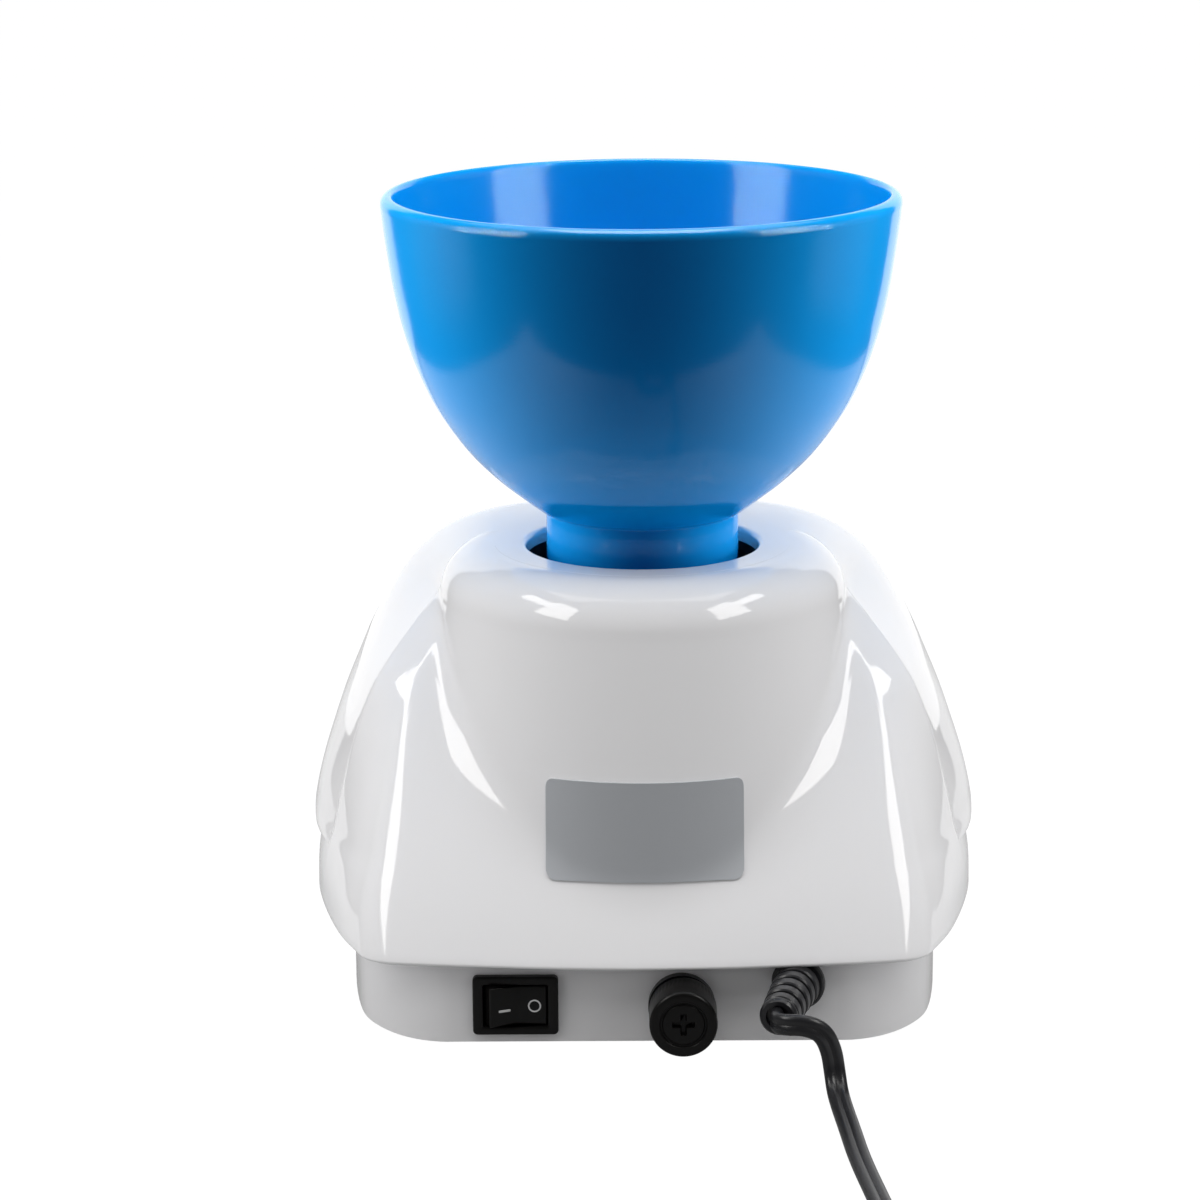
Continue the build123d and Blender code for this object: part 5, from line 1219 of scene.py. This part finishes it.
# brighter towards its sides than in the middle
bt = bounce.data.materials[0].node_tree
where = bt.nodes.new("ShaderNodeTexCoord")
parts_xyz = bt.nodes.new("ShaderNodeSeparateXYZ")
bt.links.new(where.outputs["Object"], parts_xyz.inputs["Vector"])
away = bt.nodes.new("ShaderNodeMath")
away.operation = "ABSOLUTE"
bt.links.new(parts_xyz.outputs["X"], away.inputs[0])
glow = bt.nodes.new("ShaderNodeMapRange")
glow.interpolation_type = "SMOOTHSTEP"
glow.inputs["From Min"].default_value, glow.inputs["From Max"].default_value = 0.03, 0.20
glow.inputs["To Min"].default_value, glow.inputs["To Max"].default_value = 0.11, 0.66
bt.links.new(away.outputs["Value"], glow.inputs["Value"])
bt.links.new(glow.outputs["Result"], bt.nodes["Principled BSDF"].inputs["Emission Strength"])

world = bpy.data.worlds.new("studio")
scene.world = world
world.use_nodes = True
nt = world.node_tree
for nd in list(nt.nodes):
    nt.nodes.remove(nd)
out = nt.nodes.new("ShaderNodeOutputWorld")
dim = nt.nodes.new("ShaderNodeBackground")
dim.inputs["Color"].default_value = (1, 1, 1, 1)
dim.inputs["Strength"].default_value = 0.05
white = nt.nodes.new("ShaderNodeBackground")
white.inputs["Color"].default_value = (1, 1, 1, 1)
white.inputs["Strength"].default_value = 1.1
ray = nt.nodes.new("ShaderNodeLightPath")
mix = nt.nodes.new("ShaderNodeMixShader")
nt.links.new(ray.outputs["Is Camera Ray"], mix.inputs["Fac"])
nt.links.new(dim.outputs["Background"], mix.inputs[1])
nt.links.new(white.outputs["Background"], mix.inputs[2])
nt.links.new(mix.outputs["Shader"], out.inputs["Surface"])


only_bowl = bpy.data.collections.new("only_bowl")
only_bowl.objects.link(bowl)
not_bowl = bpy.data.collections.new("not_bowl")
not_bowl.objects.link(bowl)
not_bowl.collection_objects[0].light_linking.link_state = "EXCLUDE"


def softbox(name, place, aim, size, radiance, glossy=True, diffuse=True, lights=None, color=(1, 1, 1)):
    data = bpy.data.lights.new(name, "AREA")
    data.shape, data.size, data.size_y = "RECTANGLE", size[0], size[1]
    data.energy, data.color = radiance * math.pi * size[0] * size[1], color
    ob = bpy.data.objects.new(name, data)
    scene.collection.objects.link(ob)
    ob.location = Vector(place)
    ob.rotation_euler = (Vector(aim) - ob.location).to_track_quat("-Z", "Y").to_euler()
    ob.visible_camera = False
    ob.visible_glossy = glossy
    ob.visible_diffuse = diffuse
    if lights is not None:
        ob.light_linking.receiver_collection = lights
    return ob


WARM = (1, 0.99, 0.965)
for sgn, tag in ((1, "left"), (-1, "right")):
    # tall lamps in the sides of the tent, the walls behind them, and the same light on the translucent bowl
    softbox("lamp_" + tag, (sgn * 0.31, 0.265, 0.385), (0, 0.265, 0.385), (0.19, 0.27), 6.5, True, False, not_bowl, WARM)
    softbox("strip_" + tag, (sgn * 0.31, 0.095, 0.41), (0, 0.095, 0.41), (0.15, 0.09), 6.5, True, False, not_bowl, WARM)
    inner = softbox("lamp_bowl_" + tag, (sgn * 0.31, 0.165, 0.37), (0, 0.165, 0.37), (0.21, 0.40), 7.5, True, False, only_bowl, (0.72, 1, 0.93))
    inner.data.use_shadow = False
    inner.data.cycles.use_multiple_importance_sampling = False
    softbox("lamp_soft_" + tag, (sgn * 0.31, 0.165, 0.48), (0, 0.13, 0.30), (0.27, 0.28), 1.6, False, True, not_bowl, WARM)
    softbox("wall_" + tag, (sgn * 0.33, -0.03, 0.20), (0, -0.03, 0.20), (0.50, 0.40), 0.74, False, True, not_bowl)
    softbox("bowl_side_" + tag, (sgn * 0.36, -0.035, 0.20), (0, 0.0, 0.19), (0.26, 0.30), 8.0, False, True, only_bowl)
softbox("bowl_top", (0, 0.02, 0.66), (0, 0, 0.2), (0.34, 0.34), 6.8, True, True, only_bowl)
under = softbox("bowl_under", (0, 0.10, 0.03), (0, 0.045, 0.115), (0.2, 0.06), 0.45, False, True, only_bowl)
under.data.use_shadow = False
softbox("side_front_left", (0.30, 0.24, 0.15), (0, 0.03, 0.08), (0.26, 0.22), 1.4, False, True, not_bowl)
softbox("side_front_right", (-0.30, 0.24, 0.15), (0, 0.03, 0.08), (0.26, 0.22), 1.1, False, True, not_bowl)
softbox("tent_top", (0, -0.06, 0.62), (0, -0.06, 0), (0.6, 0.5), 1.9)
softbox("tent_back", (0, -0.48, 0.24), (0, 0, 0.24), (0.8, 0.5), 1.2)
softbox("fill", (0, 0.38, 0.72), (0, 0.05, 0.08), (0.6, 0.4), 2.6, False, True, not_bowl)

scene.view_settings.view_transform = "Standard"
scene.view_settings.look = "None"
scene.view_settings.exposure = 0.0
